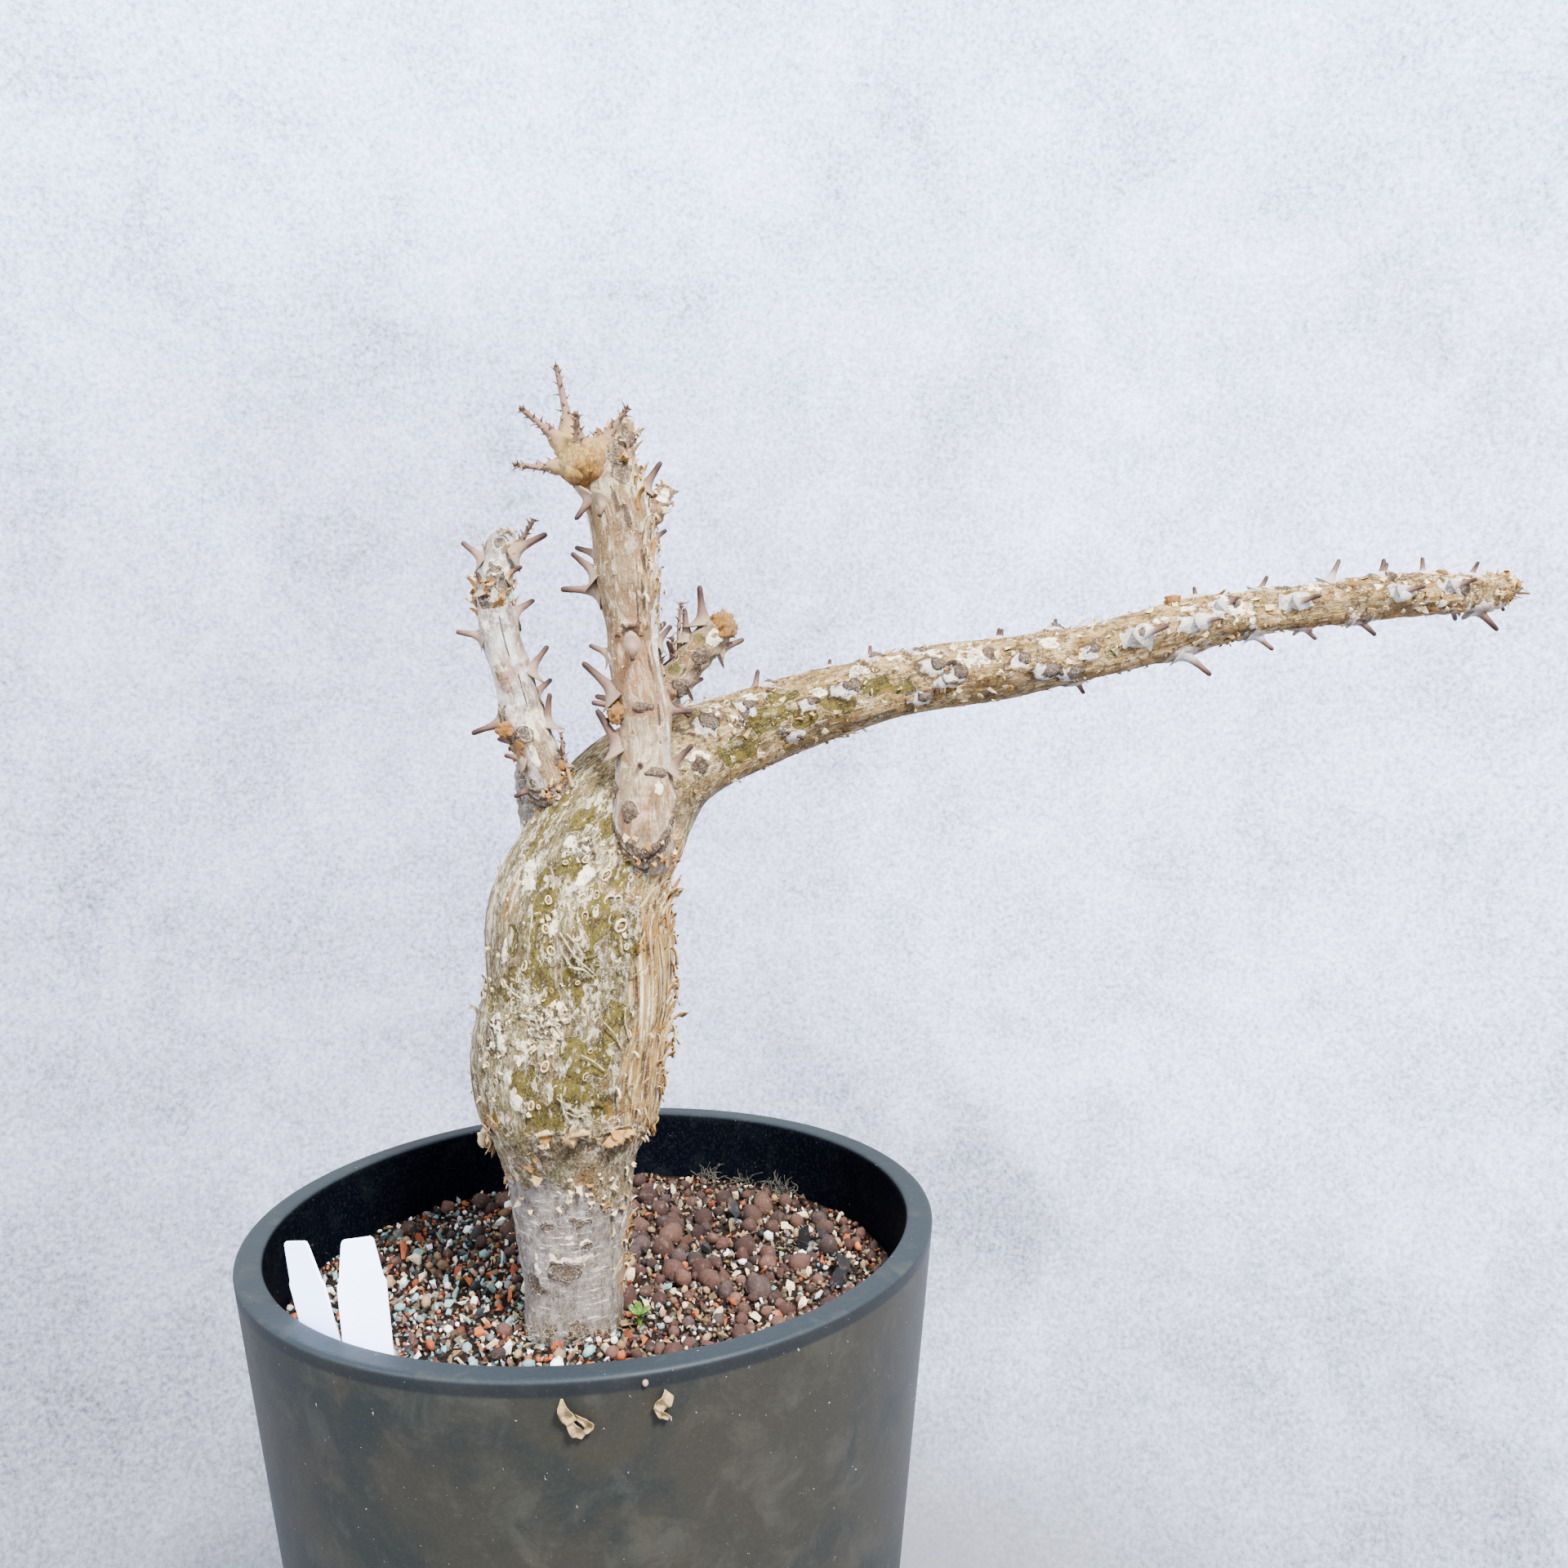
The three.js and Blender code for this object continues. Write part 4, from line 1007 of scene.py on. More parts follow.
def leaderRelief(limb, shares, arc, angles, radius, grain):
    look = trunkLook
    lift, fields = markFields(limb, 2, look["marks"], arc, angles, radius, grain, look["seed"], 0.7)
    feet = [(place, degrees, 2.2 + 0.46 * length, 1.3 + 0.24 * length) for place, degrees, length,
            lean in branchSpines]
    moreLift, moreFields = markFields(limb, 0, {**branchMarks, "foot": feet}, arc, angles, radius, grain,
                                      look["seed"] + 40, 0.8)
    onBranch = (shares > 0.42)[:, None]
    lift = np.where(onBranch, moreLift, lift)
    fields = {key: np.where(onBranch, moreFields[key], fields[key]) for key in fields}
    height = limb.valueAt(2, shares)
    reach = limb.valueAt(0, shares)
    onTrunk = ease(0.47, 0.42, shares)[:, None]
    tall = 1 - onTrunk
    drawn = np.array([1, 1, 0.4])
    patches = layered(grain * drawn, 6, look["seed"] + 3, 4)
    flaky = layered(grain, (3.4, 3.4, 6), look["seed"] + 6, 4)
    ragged = layered(grain * [1, 1, 0.3], 3.4, look["seed"] + 21, 3)
    aboveTear = height - aroundTable(look["tornEdge"], angles)[None] - 2.4 * ragged
    aboveTan = height - aroundTable(look["lowerEdge"], angles)[None] - 2.2 * ragged
    upper = ease(-0.5, 0.5, aboveTear)
    swollen = ease(226, 246, height) * ease(350, 326, height)

    # where the film is whole, and where it has torn off
    onwards = (0.6 * patches - 0.04) * tall * ease(230, 60, reach)
    fields["film"] += 1.02 + (0.75 * patches - 0.32) * swollen + onwards
    fields["film"] = np.where(aboveTear < 0, np.maximum(fields["film"], 0.8), fields["film"])
    fields["rise"] = np.maximum(upper, tall)
    fields["reach"] = ease(0.4, 0.52, shares)[:, None] + 0 * lift
    fields["silver"] += 1.1 * ease(0.6, -0.6, aboveTan) * onTrunk
    lip = peak(aboveTear, 0.7, 0.7) * ease(-0.5, 0.3, ragged) * onTrunk
    lowLip = peak(aboveTan, 0.6, 0.6) * ease(-0.1, 0.4, ragged) * onTrunk
    fields["pale"] += 0.8 * lip + 0.7 * lowLip
    # a dark line just under the film's torn lower edge: painted shadow of the lifted film
    fields["scar"] += 0.6 * peak(aboveTear, -0.7, 0.4) * ease(-0.3, 0.3, ragged) * onTrunk
    lift = lift + onTrunk * (0.35 * upper * ease(16, 2, aboveTear) + 0.4 * lip + 0.3 * lowLip)

    # strips down the right of the trunk, white scale on top of the branch and tan bark under it
    turned = np.cos(angles)[None] + 0.22 * patches
    stripped = ease(0.42, 0.78, turned) * ease(226, 246, height) * ease(344, 330, height) * onTrunk
    fields["strip"] += 1.05 * stripped
    ridges = layered(grain * [1, 1, 0.045], 1.9, look["seed"] + 8, 2)
    lift = lift + stripped * (0.3 + 1.4 * np.clip(ridges, -0.5, 1))
    degrees = np.degrees(wrapped(angles))[None]
    fields["pale"] += tall * (0.62 * ease(0, 0.5, flaky) * ease(50, 110, degrees) - 0.1)
    fields["warm"] += 0.6 * tall * ease(80, 20, np.abs(degrees)) * ease(100, 190, reach)
    fields["warm"] += 0.45 * tall * ease(0.1, 0.6, patches)

    # the skin's own unevenness, and the crumbs at the foot
    lift = lift + 0.32 * layered(grain * drawn, 9, look["seed"] + 9, 3) * (1 - 0.5 * tall)
    crumbs = 0.12 * softNoise(grain, 1.5, look["seed"] + 12)
    lift = lift + (0.14 + 0.16 * tall) * np.clip(flaky, -0.3, 1) + crumbs
    lift = lift + 0.25 * (np.clip(fields["film"], 0, 1) - 0.5) * swollen
    atFoot = ease(186, 176, height + 4 * patches)
    fields["crumb"] += 0.75 * atFoot * ease(-0.3, 0.4, flaky)
    lift = lift + 0.5 * atFoot * flaky + 0.45 * ease(182, 168, height) * np.sin(3 * angles[None] + 1)
    swing = np.minimum(1, 40 * shares * (1 - shares))[:, None]
    lift = lift + 0.5 * np.sin(4 * angles[None] + 60 * shares[:, None]) * swing
    return lift, cappedFields(fields)


leaderBark = barkMaterial("peelingTrunkBark", trunkLook)
footShare = 0.3 / 10 / (len(leaderLine) - 1)
stubLine = [[-8, -14, 318, 5], [-14, -12, 328, 4.6], [-15.5, -11, 336, 4], [-16.4, -11, 343, 3.7],
            [-17, -11, 347.5, 2.4]]


def stubRelief(limb, shares, arc, angles, radius, grain):
    crumble = layered(grain, 2.5, 77, 3)
    none = 0 * crumble
    fields = {key: none for key in (*markKeys, "reach")}
    fields.update({"film": 1 + none, "silver": 1 + none, "rise": 1 + none})
    fields.update({"pale": 0.25 + 0.6 * crumble, "crumb": 0.2 - 0.7 * crumble})
    return 0.5 * crumble + 0.22 * np.sin(arc * 1.6)[:, None], cappedFields(fields)


fuse("trunk_wood", [
    loft(leader, footShare, branchStart, trunkLook["rows"], trunkLook["sides"], leaderRelief),
    loft(Limb(stubLine), 0, 1, 60, 44, stubRelief),
], leaderBark, "trunk_bark", "trunk")
branchShape = loft(leader, branchStart, 1, 520, 116, leaderRelief)
fuse("branch_wood", [branchShape], leaderBark, "branch_bark", "long_branch")
print("trunk and long branch made")


# The centre stem, the left stem and the side shoot: smoother, creamier bark

centreLine = [
    [18.5, -27, 316, 7], [18.4, -33, 322, 9.2], [18.4, -37, 329.4, 9.4], [18.5, -38, 336.6, 8.8],
    [18.6, -38, 344, 8.4], [19.5, -38, 356, 7.5], [19.6, -38, 363, 7.4], [18.2, -38, 370, 7.6],
    [16.7, -38, 380, 7.4], [16.5, -38, 389, 7.9], [15.9, -38, 399, 9.2], [15.2, -37.5, 408, 9.3],
    [14.4, -37, 418, 9.4], [12.4, -36.5, 427, 9], [12, -36, 434, 8], [13.8, -36, 440, 5.6],
    [16, -36, 445, 3.6], [17.2, -36, 447.5, 1.6],
]
knobLine = [[18, -37, 414, 3], [23, -37, 420, 3.6], [26.5, -37, 425, 3], [28.2, -37, 428, 1.8]]
leftLine = [
    [-2, -20, 326, 5], [-5, -22.5, 332, 6], [-7.8, -24, 338, 6.4], [-10.2, -24, 345, 6.3],
    [-12.4, -24, 351.5, 6.4], [-14.7, -24, 357, 6.6], [-16.3, -24, 362, 6.4], [-17.2, -24, 367, 6],
    [-19, -24, 375, 5.9], [-21, -24, 382, 5.8], [-22.4, -24, 389, 5.8], [-23.3, -24, 396, 5.5],
    [-23.1, -24, 401, 5.3], [-22.3, -24, 406, 4.8], [-21.4, -24, 411, 4.6], [-19.6, -24, 415, 3.6],
    [-18.6, -24, 417, 1.6],
]
shootLine = [
    [24, -36, 366.8, 3.4], [26.5, -35.2, 369, 4.3], [29, -34.5, 371.7, 4.7], [32, -34, 375.2, 5],
    [35, -34, 379, 5.2], [38, -34, 382.3, 5.2], [40.6, -34, 385, 4.9], [42.6, -34, 387.2, 4],
    [43.8, -34, 388.6, 2.2],
]
centreStem, knob, leftStem, sideShoot = Limb(centreLine), Limb(knobLine), Limb(leftLine), Limb(shootLine)

smoothBark = {
    **trunkLook,
    "filmLow": [(0.193, 0.115, 0.055), (0.3, 0.215, 0.125)],
    "filmHigh": [(0.12, 0.063, 0.022), (0.185, 0.116, 0.05)],
    "filmFar": [(0.12, 0.063, 0.022), (0.2, 0.127, 0.057)],
    "under": [(0.107, 0.063, 0.023), (0.147, 0.1, 0.04)], "warm": (0.227, 0.103, 0.04),
    "tan": (0.167, 0.097, 0.043), "silver": [(0.235, 0.195, 0.175), (0.6, 0.565, 0.56)], "tanShare": 0.3,
    "streakColour": (0.1, 0.063, 0.027), "streak": 0.38, "bleach": 0.4, "fibre": 0.3, "seeThrough": 0.25,
    "veil": 0.2, "mist": 0.2, "mistColour": (0.36, 0.31, 0.27), "rim": 0.6, "grainScale": 0.6,
    "stretch": (1, 1, 0.08), "crackWidth": 0.009, "crack": 0.5, "scrapScale": 0.2,
    "scrapStretch": (1, 1, 0.3), "whiteShare": 0.25, "line": 0.3, "relief": 0.25, "fleckScale": 0.9,
    "fleckCover": 0.16, "mottle": 0.6, "bump": 0.8,
}
leftBark = {
    **smoothBark,
    "filmLow": [(0.187, 0.112, 0.054), (0.317, 0.223, 0.137)],
    "filmHigh": [(0.2, 0.15, 0.12), (0.72, 0.69, 0.68)], "filmFar": [(0.2, 0.15, 0.12), (0.72, 0.69, 0.68)],
    "streak": 0.4, "bleach": 0.4, "seeThrough": 0.16, "whiteShare": 0.6, "line": 0.6, "mottle": 1,
    "bump": 0.9,
}
shootBark = {
    **smoothBark,
    "filmLow": [(0.155, 0.097, 0.047), (0.21, 0.147, 0.08)],
    "filmHigh": [(0.155, 0.105, 0.05), (0.217, 0.165, 0.09)],
    "filmFar": [(0.155, 0.105, 0.05), (0.217, 0.165, 0.09)],
    "under": [(0.067, 0.053, 0.015), (0.107, 0.083, 0.023)], "seeThrough": 0.6, "veil": 0.6, "mottle": 0.9,
    "bump": 0.9,
}

centreMarks = {
    "hood": [(384.4, 97, 3.6, 4.2)],
    "warm": [(371.5, 104, 7, 6), (341, 44, 4, 5), (356, 172, 4, 3), (362, 8, 6, 3.4), (402.5, 60, 6, 2)],
    "nodule": [
        (364.3, 101, 1.3, 3.2), (345.4, 66, 1.7, 3.2), (334.6, 120, 2.6, 3.2), (442, 60, 3, 3),
        (340.5, 176, 2.4, 2),
    ],
    "white": [
        (341, 62, 2.6, 1.6), (404, 164, 2.4, 1.6), (379, 166, 2, 1.6), (366, 176, 2.4, 1.6),
        (347, 178, 2.4, 1.6),
    ],
    "slit": [
        (416.6, 81, 4.4, 1), (404, 60, 5, 0.5), (410, 52, 5, 0.6), (398, 68, 4, 0.5), (424, 96, 4.4, 0.7),
        (361, 60, 5, 0.4), (392, 80, 7, 0.4), (375, 60, 6, 0.4),
    ],
    "eye": [(430, 70, 4, 3.4), (437, 90, 4, 3.4), (352, 250, 3, 3), (408, 290, 3.2, 3.6)],
    "boss": [(384, 268, 3.6, 3.6), (368, 300, 2.6, 2.6)],
    "crust": [(425, 240, 4, 4)],
}
leftMarks = {
    "warm": [(375.5, 102, 6, 3.4), (351.8, 158, 5, 4.4), (394.3, 168, 2.4, 2.4)],
    "nodule": [(362.5, 166, 2.4, 2.6), (358.2, 146, 2.4, 2.4), (347, 33, 2.4, 2.4)],
    "eye": [
        (357.4, 98, 2.6, 2.6), (343.9, 138, 2.4, 2), (401, 60, 3, 3), (398, 120, 2.8, 3.4),
        (413, 100, 2.6, 2.6), (360, 280, 2.6, 2.6), (392, 300, 2.4, 2.4),
    ],
    "white": [(350, 100, 4, 1.6), (407, 60, 3, 3)],
    "crust": [(404, 90, 3, 3)],
    "slit": [(395, 104, 1.2, 3.4), (385, 80, 8, 0.4), (370, 70, 6, 0.4)],
    "boss": [(380, 250, 2.6, 2.6)],
}
shootMarks = {
    "nodule": [(379.4, 74, 2.4, 2.2), (371, 60, 2.4, 2.8)],
    "eye": [(376, 60, 2, 2.2)],
    "bare": [(374, 110, 3.4, 2.4), (381, 120, 2.6, 1.6)],
    "white": [(384.5, 80, 2.4, 3)],
    "boss": [(377, 250, 2.4, 2.4)],
}
centreCollar = [[0, 337], [20, 335.2], [46, 330.1], [70, 326.5], [92, 325.1], [114, 325.4], [148, 327.8],
                [181, 335.4],
                [225, 338], [315, 338]]
leftCollar = [[0, 340.5], [45, 338.5], [90, 337], [135, 337.5], [180, 339.5], [225, 341], [315, 341]]


# The crumbly brown rings where a stem grows out of the wood below it
def collarFields(table, rings, depth, height, angles, grain, seed, lift, fields):
    crumble = layered(grain, 2.2, seed, 3)
    above = height - aroundTable(table, angles)[None] - 0.9 * crumble
    band = ease(-depth - 1, -depth, above) * ease(depth + 1, depth, above)
    for ring in rings:
        crack = peak(above, ring, 0.4)
        fields["scar"] += crack
        lift = lift - 0.55 * crack
    fields["crumb"] += 0.95 * band * ease(-0.55, 0.1, crumble)
    fields["pale"] -= 0.4 * band
    return lift + 0.4 * band * (1 + crumble)


def stemRelief(marks, seed, filmGap, riseAt, flakyFrom, collar=None):
    def relief(limb, shares, arc, angles, radius, grain):
        lift, fields = markFields(limb, 2, marks, arc, angles, radius, grain, seed, 0.1)
        height = limb.valueAt(2, shares)
        patches = layered(grain * [1, 1, 0.35], 5, seed + 3, 3)
        flaky = layered(grain, (3, 3, 4.5), seed + 5, 4)
        upper = ease(*flakyFrom, height)
        fields["film"] += 1.05 - filmGap * ease(0.2, 0.6, patches) - 0.4 * upper * ease(0, 0.4, flaky)
        fields["pale"] += 0.42 * upper * ease(0.1, 0.5, -flaky)
        fields["crumb"] += 0.5 * upper * ease(0.15, 0.5, flaky)
        fields["warm"] += 0.6 * ease(0, 0.7, layered(grain * [1, 1, 0.3], 8, seed + 9, 2))
        sheen = layered(grain * [1, 1, 0.12], 4.5, seed + 11, 3)
        leftward = ease(60, 170, np.degrees(angles) % 360)[None]
        fields["silver"] += 0.9 * ease(-0.1, 0.5, sheen + 0.5 * leftward - 0.25) * (1 - 0.6 * upper)
        fields["rise"] = np.repeat(ease(*riseAt, height), len(angles), 1)
        fields["reach"] = 0 * lift
        if collar:
            lift = collarFields(*collar, height, angles, grain, seed + 20, lift, fields)
        lift = lift + 0.25 * np.sin(3 * angles[None] + 40 * shares[:, None]) + 0.14 * patches
        lift = lift + 0.08 * softNoise(grain, 1.3, seed + 7) + upper * 0.7 * np.clip(flaky, -0.5, 1)
        return lift, cappedFields(fields)
    return relief


centreBark = barkMaterial("creamStemBark", smoothBark)
leftStemBark = barkMaterial("whiteStemBark", leftBark)
sideShootBark = barkMaterial("veinedShootBark", shootBark)
fuse("centre_stem_wood", [
    loft(centreStem, 0, 1, 270, 104, stemRelief(
        centreMarks, 31, 0.35, (350, 388), (422, 442), (centreCollar, (-0.6, -3.2), 1.6))),
    loft(knob, 0, 1, 44, 48, stemRelief({"white": [(425, 90, 2, 2)]}, 36, 0.4, (352, 396), (421, 427))),
], centreBark, "stem_bark", "centre_stem")
leftRelief = stemRelief(leftMarks, 51, 0.3, (352, 372), (392, 404),
                        (leftCollar, (-2.6, -0.6, 1.4, 3.2), 3.6))
fuse("left_stem_wood", [loft(leftStem, 0, 1, 190, 76, leftRelief)], leftStemBark, "stem_bark", "left_stem")
shootRelief = stemRelief(shootMarks, 71, 0.5, (372, 384), (384, 389))
fuse("side_shoot_wood", [loft(sideShoot, 0, 1, 70, 62, shootRelief)], sideShootBark, "branch_bark",
     "side_shoot")
print("stems and shoot made")


# Spines: a broad silvery foot and a slim dark end, mostly broken off blunt.
# [height, or reach along X on the long branch; degrees round; length; lean towards the tip]

spineLook = {
    "rings": [0, 0.05, 0.12, 0.22, 0.34, 0.48, 0.64, 0.8, 0.94, 1],
    "girths": [2.3, 1.8, 1.35, 1, 0.8, 0.69, 0.63, 0.58, 0.52, 0.4], "sides": 11, "sink": 1, "foot": 0.82,
    "footPerLength": 0.075, "seed": 5, "silver": (0.331, 0.302, 0.288), "cream": (0.24, 0.168, 0.114),
    "wood": (0.13, 0.071, 0.05), "tip": (0.03, 0.0125, 0.009),
}
centreSpines = [
    [347, 100, 3, 10], [346, 15, 9, 50], [351, 172, 13, 55], [361, 178, 6, -5], [362.5, 8, 6, -10],
    [366, 178, 8, 20], [369, 174, 13, 55], [381, 95, 7, -25], [380, 178, 6, 30], [382, 6, 6.4, 45],
    [399, 184, 10.5, 5], [403, 176, 9, 45], [412, 8, 4, 30], [425, 4, 9, 42], [425.5, 152, 7, -42],
    [423, 120, 5, -40],
]
leftSpines = [
    [339, 20, 3, 20], [342, 172, 5, -5], [346, 20, 6, 60], [351, 150, 5, 30], [357, 15, 9, 60],
    [362, 178, 9, -5], [374, 12, 8.5, 40], [387, 176, 7, 20], [399, 130, 5, 60], [405, 30, 4, 30],
    [408, 178, 7.5, 30], [412, 20, 11, 45],
]
shootSpines = [[368.5, -5, 6, 0], [372, -8, 5, 70], [380, 178, 9, 45], [383, -12, 8, 65],
               [385, 180, 11, 42]]
backArc = (205, 335)


def backSpines(start, end, count, seed):
    random = np.random.default_rng(seed)
    found = []
    for i in range(count):
        place = start + (end - start) * (i + 0.6 * random.random()) / count
        degrees = backArc[0] + (backArc[1] - backArc[0]) * ((i * 0.382 + 0.15 * random.random()) % 1)
        found.append([place, degrees, 5 + 4 * random.random(), 20 + 25 * random.random()])
    return found


def spineShape(limb, axis, place, degrees, length, lean, random):
    look = spineLook
    skin, out, along = limb.skinWhere(axis, place, degrees)
    aim = out * math.cos(math.radians(lean)) + along * math.sin(math.radians(lean))
    side = np.cross(along, out)
    bend = (out * 0.6 + side * random.uniform(-1, 1)) * length * random.uniform(-0.05, 0.09)
    shares = np.array(look["rings"])
    start = skin - out * look["sink"]
    centres = start + aim * (shares * (length + look["sink"]))[:, None] + bend * (shares ** 2)[:, None]
    girths = np.array(look["girths"]) * (look["foot"] + look["footPerLength"] * length)
    girths = np.maximum(girths, 0.26)
    girths[-1] *= 0.8
    angles = np.arange(look["sides"]) / look["sides"] * 2 * np.pi
    stretchAlong = 1 + 0.8 * (1 - shares) ** 4  # the foot is longer along the stem than across it
    first = along - aim * (along @ aim)
    if np.linalg.norm(first) < 0.2:
        first = np.cross(aim, side)
    first = first / np.linalg.norm(first)
    second = np.cross(first, aim)
    longways = (np.cos(angles)[None] * stretchAlong[:, None])[..., None]
    ring = first * longways + second * np.sin(angles)[None, :, None]
    points = centres[:, None] + girths[:, None, None] * ring
    wobble = softNoise(points, 1.1, 9) * 0.1 * girths[:, None]
    points = points + wobble[..., None] * ring
    points = np.vstack([points.reshape(-1, 3), centres[0], centres[-1] + aim * 0.05])
    fields = {"tone": np.append(np.repeat(shares, look["sides"]), [0, 1]),
              "tint": np.full(len(points), random.random())}
    fields["grain"] = points @ np.stack([first, second, aim], 1)
    return points, gridFaces(len(shares), look["sides"]), fields


def spineMaterial(name, look, foot):
    material, shader = newMaterial(name, 0.6, 0.25)
    lines = useGroup(longGrain, Vector=fieldOf("grain", "Vector"), Scale=1.6, Stretch=(1, 1, 0.15),
                     Crack=0.02)
    tone = fieldOf("tone") + (lines["Streak"] - 0.5) * 0.35 + (fieldOf("tint") - 0.6) * 0.35
    colour = coated(foot, [
        (rampOf(tone, 0.12, 0.42), look["wood"]),
        (rampOf(tone, 0.42, 0.9), look["tip"]),
        (lines["Crack"] * 0.6, look["tip"]),
    ])
    paint(shader, colour, lines["Streak"] + lines["Fine"] * 0.3, 0.0003, 0.6)
    return material


silverSpine = spineMaterial("silverSpine", spineLook, spineLook["silver"])
creamSpine = spineMaterial("creamSpine", spineLook, spineLook["cream"])


def makeSpines(name, slotName, limb, axis, spines, seed, material):
    random = np.random.default_rng(spineLook["seed"] + seed)
    fuse(name, [spineShape(limb, axis, *spine, random) for spine in spines], material, slotName)


makeSpines("branch_spines", "branch_bark", leader, 0, branchSpines + backSpines(60, 322, 16, 3), 0,
           silverSpine)
makeSpines("centre_spines", "stem_bark", centreStem, 2, centreSpines + backSpines(362, 432, 8, 4), 1,
           creamSpine)
makeSpines("left_spines", "stem_bark", leftStem, 2, leftSpines + backSpines(352, 412, 8, 5), 2, creamSpine)
makeSpines("shoot_spines", "branch_bark", sideShoot, 2, shootSpines + backSpines(374, 386, 3, 6), 3,
           creamSpine)
print("spines made")


# Placed shapes: one Geometry Nodes tree puts a few small shapes on many points

def placedShapesTree():
    group, given, result = newGroup("placedShapes", "GeometryNodeTree", {
        "Geometry": ("Geometry", None), "Shapes": ("Collection", None), "Size": ("Float", 1),
        "Spread": ("Float", 0.2), "Tumble": ("Float", 0), "Seed": ("Int", 1),
        "Material": ("Material", None),
    }, {"Geometry": "Geometry"})
    source = {"Collection": given["Shapes"], "Separate Children": True, "Reset Children": True}
    spread = {2: 1 - given["Spread"], 3: 1 + given["Spread"], "Seed": given["Seed"]}
    spread = addNode("FunctionNodeRandomValue", spread, data_type="FLOAT")[1]
    own = addNode("GeometryNodeInputNamedAttribute", {"Name": "size"},
                  data_type="FLOAT_VECTOR")["Attribute"]
    turn = addNode("GeometryNodeInputNamedAttribute", {"Name": "turn"},
                   data_type="FLOAT_VECTOR")["Attribute"]
    toss = {0: (-1, -1, -1), 1: (1, 1, 1), "Seed": given["Seed"] + 7}
    toss = addNode("FunctionNodeRandomValue", toss, data_type="FLOAT_VECTOR")[0]
    toss = addNode("FunctionNodeEulerToRotation", {0: vectorMath("SCALE", toss, scale=given["Tumble"])})[0]
    rotation = {0: addNode("FunctionNodeEulerToRotation", {0: turn})[0], 1: toss}
    pick = addNode("FunctionNodeRandomValue", {4: 0, 5: 999, "Seed": given["Seed"] + 13},
                   data_type="INT")[2]
    placed = addNode("GeometryNodeInstanceOnPoints", {
        "Points": given["Geometry"], "Instance": addNode("GeometryNodeCollectionInfo", source)[0],
        "Pick Instance": True, "Instance Index": pick,
        "Rotation": addNode("FunctionNodeRotateRotation", rotation, rotation_space="LOCAL")[0],
        "Scale": vectorMath("SCALE", own, scale=spread * given["Size"]),
    })
    real = addNode("GeometryNodeRealizeInstances", {0: placed[0]})
    painted = addNode("GeometryNodeSetMaterial", {"Geometry": real[0], "Material": given["Material"]})
    feed(result[0], painted[0])
    return group


placedShapes = placedShapesTree()


def shapeCollection(name, meshes):
    collection = bpy.data.collections.new(name)
    for i, mesh in enumerate(meshes):
        makePiece(f"{name}{i}", mesh, None, collection)
    return collection


# Each spot is (point, turn, size, tint)
def placeShapes(name, spots, shapes, material, slotName, **values):
    points, turns, sizes, tints = (np.array(column) for column in zip(*spots))
    piece = makePiece(name, makeMesh(name, points, [], {"turn": turns, "size": sizes, "tint": tints}))
    modifier = piece.modifiers.new("placedShapes", "NODES")
    modifier.node_group = placedShapes
    values = {"Shapes": shapes, "Material": material, "Size": 1.0, **values}
    for item in placedShapes.interface.items_tree:
        if item.in_out == "INPUT" and item.name in values:
            modifier[item.identifier] = values[item.name]
    bakeModifiers(piece)
    print(" ", name, len(points), "shapes,", len(piece.data.polygons), "faces")
    return keepPiece(piece, slotName)


def eulerOf(xAxis, zAxis):  # the turn that lays a shape's X and Z along two directions
    z = Vector(zAxis).normalized()
    x = Vector(xAxis)
    x = (x - z * x.dot(z)).normalized()
    return tuple(Matrix((x, z.cross(x), z)).transposed().to_euler())


# Bark flakes: thin curled scraps, rooted at one end

flakeLook = {
    "seed": 21, "thickness": 0.1, "columns": 6, "rows": 4,
    "pale": (0.6, 0.46, 0.26), "tan": (0.28, 0.138, 0.029), "brown": (0.05, 0.024, 0.013),
}


# a unit scrap: root at the origin, X its length, Z away from the wood
def flakeMesh(name, curl, ragged, seed):
    look = flakeLook
    rows, columns = look["columns"] + 1, look["rows"] + 1
    random = np.random.default_rng(seed)
    u = np.linspace(0, 1, rows)
    v = np.linspace(-0.5, 0.5, columns)
    bow = random.uniform(0.1, 0.5)
    edge = 1 + ragged * random.uniform(-1, 1, columns)
    widths = (1 - 0.55 * u ** 2) * (1 + ragged * 0.5 * random.uniform(-1, 1, rows))
    angle = curl * u
    top = np.zeros((rows, columns, 3))
    top[..., 0] = (np.sin(angle) / curl)[:, None] * edge[None]
    top[..., 1] = v[None] * widths[:, None]
    arch = bow * 0.3 * (v[None] ** 2) * 4 * u[:, None]
    top[..., 2] = ((1 - np.cos(angle)) / curl)[:, None] * edge[None] + arch
    points = np.concatenate([top.reshape(-1, 3), (top - [0, 0, look["thickness"]]).reshape(-1, 3)])
    return makeMesh(name, points / mm, sheetFaces(rows, columns),
                    {"away": np.tile(np.repeat(u, columns), 2)})


def flakeMaterial(look):
    material, shader = newMaterial("papery", 0.75, 0.25)
    spot = placeInMm()
    patch = noiseOf(spot, 0.8, 3, 0.6)
    colour = mixOf(rampOf(fieldOf("tint") + (patch - 0.5) * 0.6, 0.25, 0.75), look["pale"], look["tan"])
    edge = rampOf(fieldOf("away") + (patch - 0.5) * 0.5, 0.8, 1.05)
    colour = mixOf(edge * 0.7, colour, look["brown"])
    colour = mixOf(rampOf(noiseOf(spot, 2.2, 3), 0.55, 0.8) * 0.4, colour, look["brown"])
    paint(shader, colour, patch, 0.0004, 0.6)
    return material


paperyBark = flakeMaterial(flakeLook)
flakeCurls = [(0.5, 0.2), (1, 0.25), (1.7, 0.2), (2.6, 0.15), (0.8, 0.35), (3.6, 0.12)]
flakeShapes = shapeCollection("flake", [
    flakeMesh(f"flake{i}", *curl, flakeLook["seed"] + i) for i, curl in enumerate(flakeCurls)
])


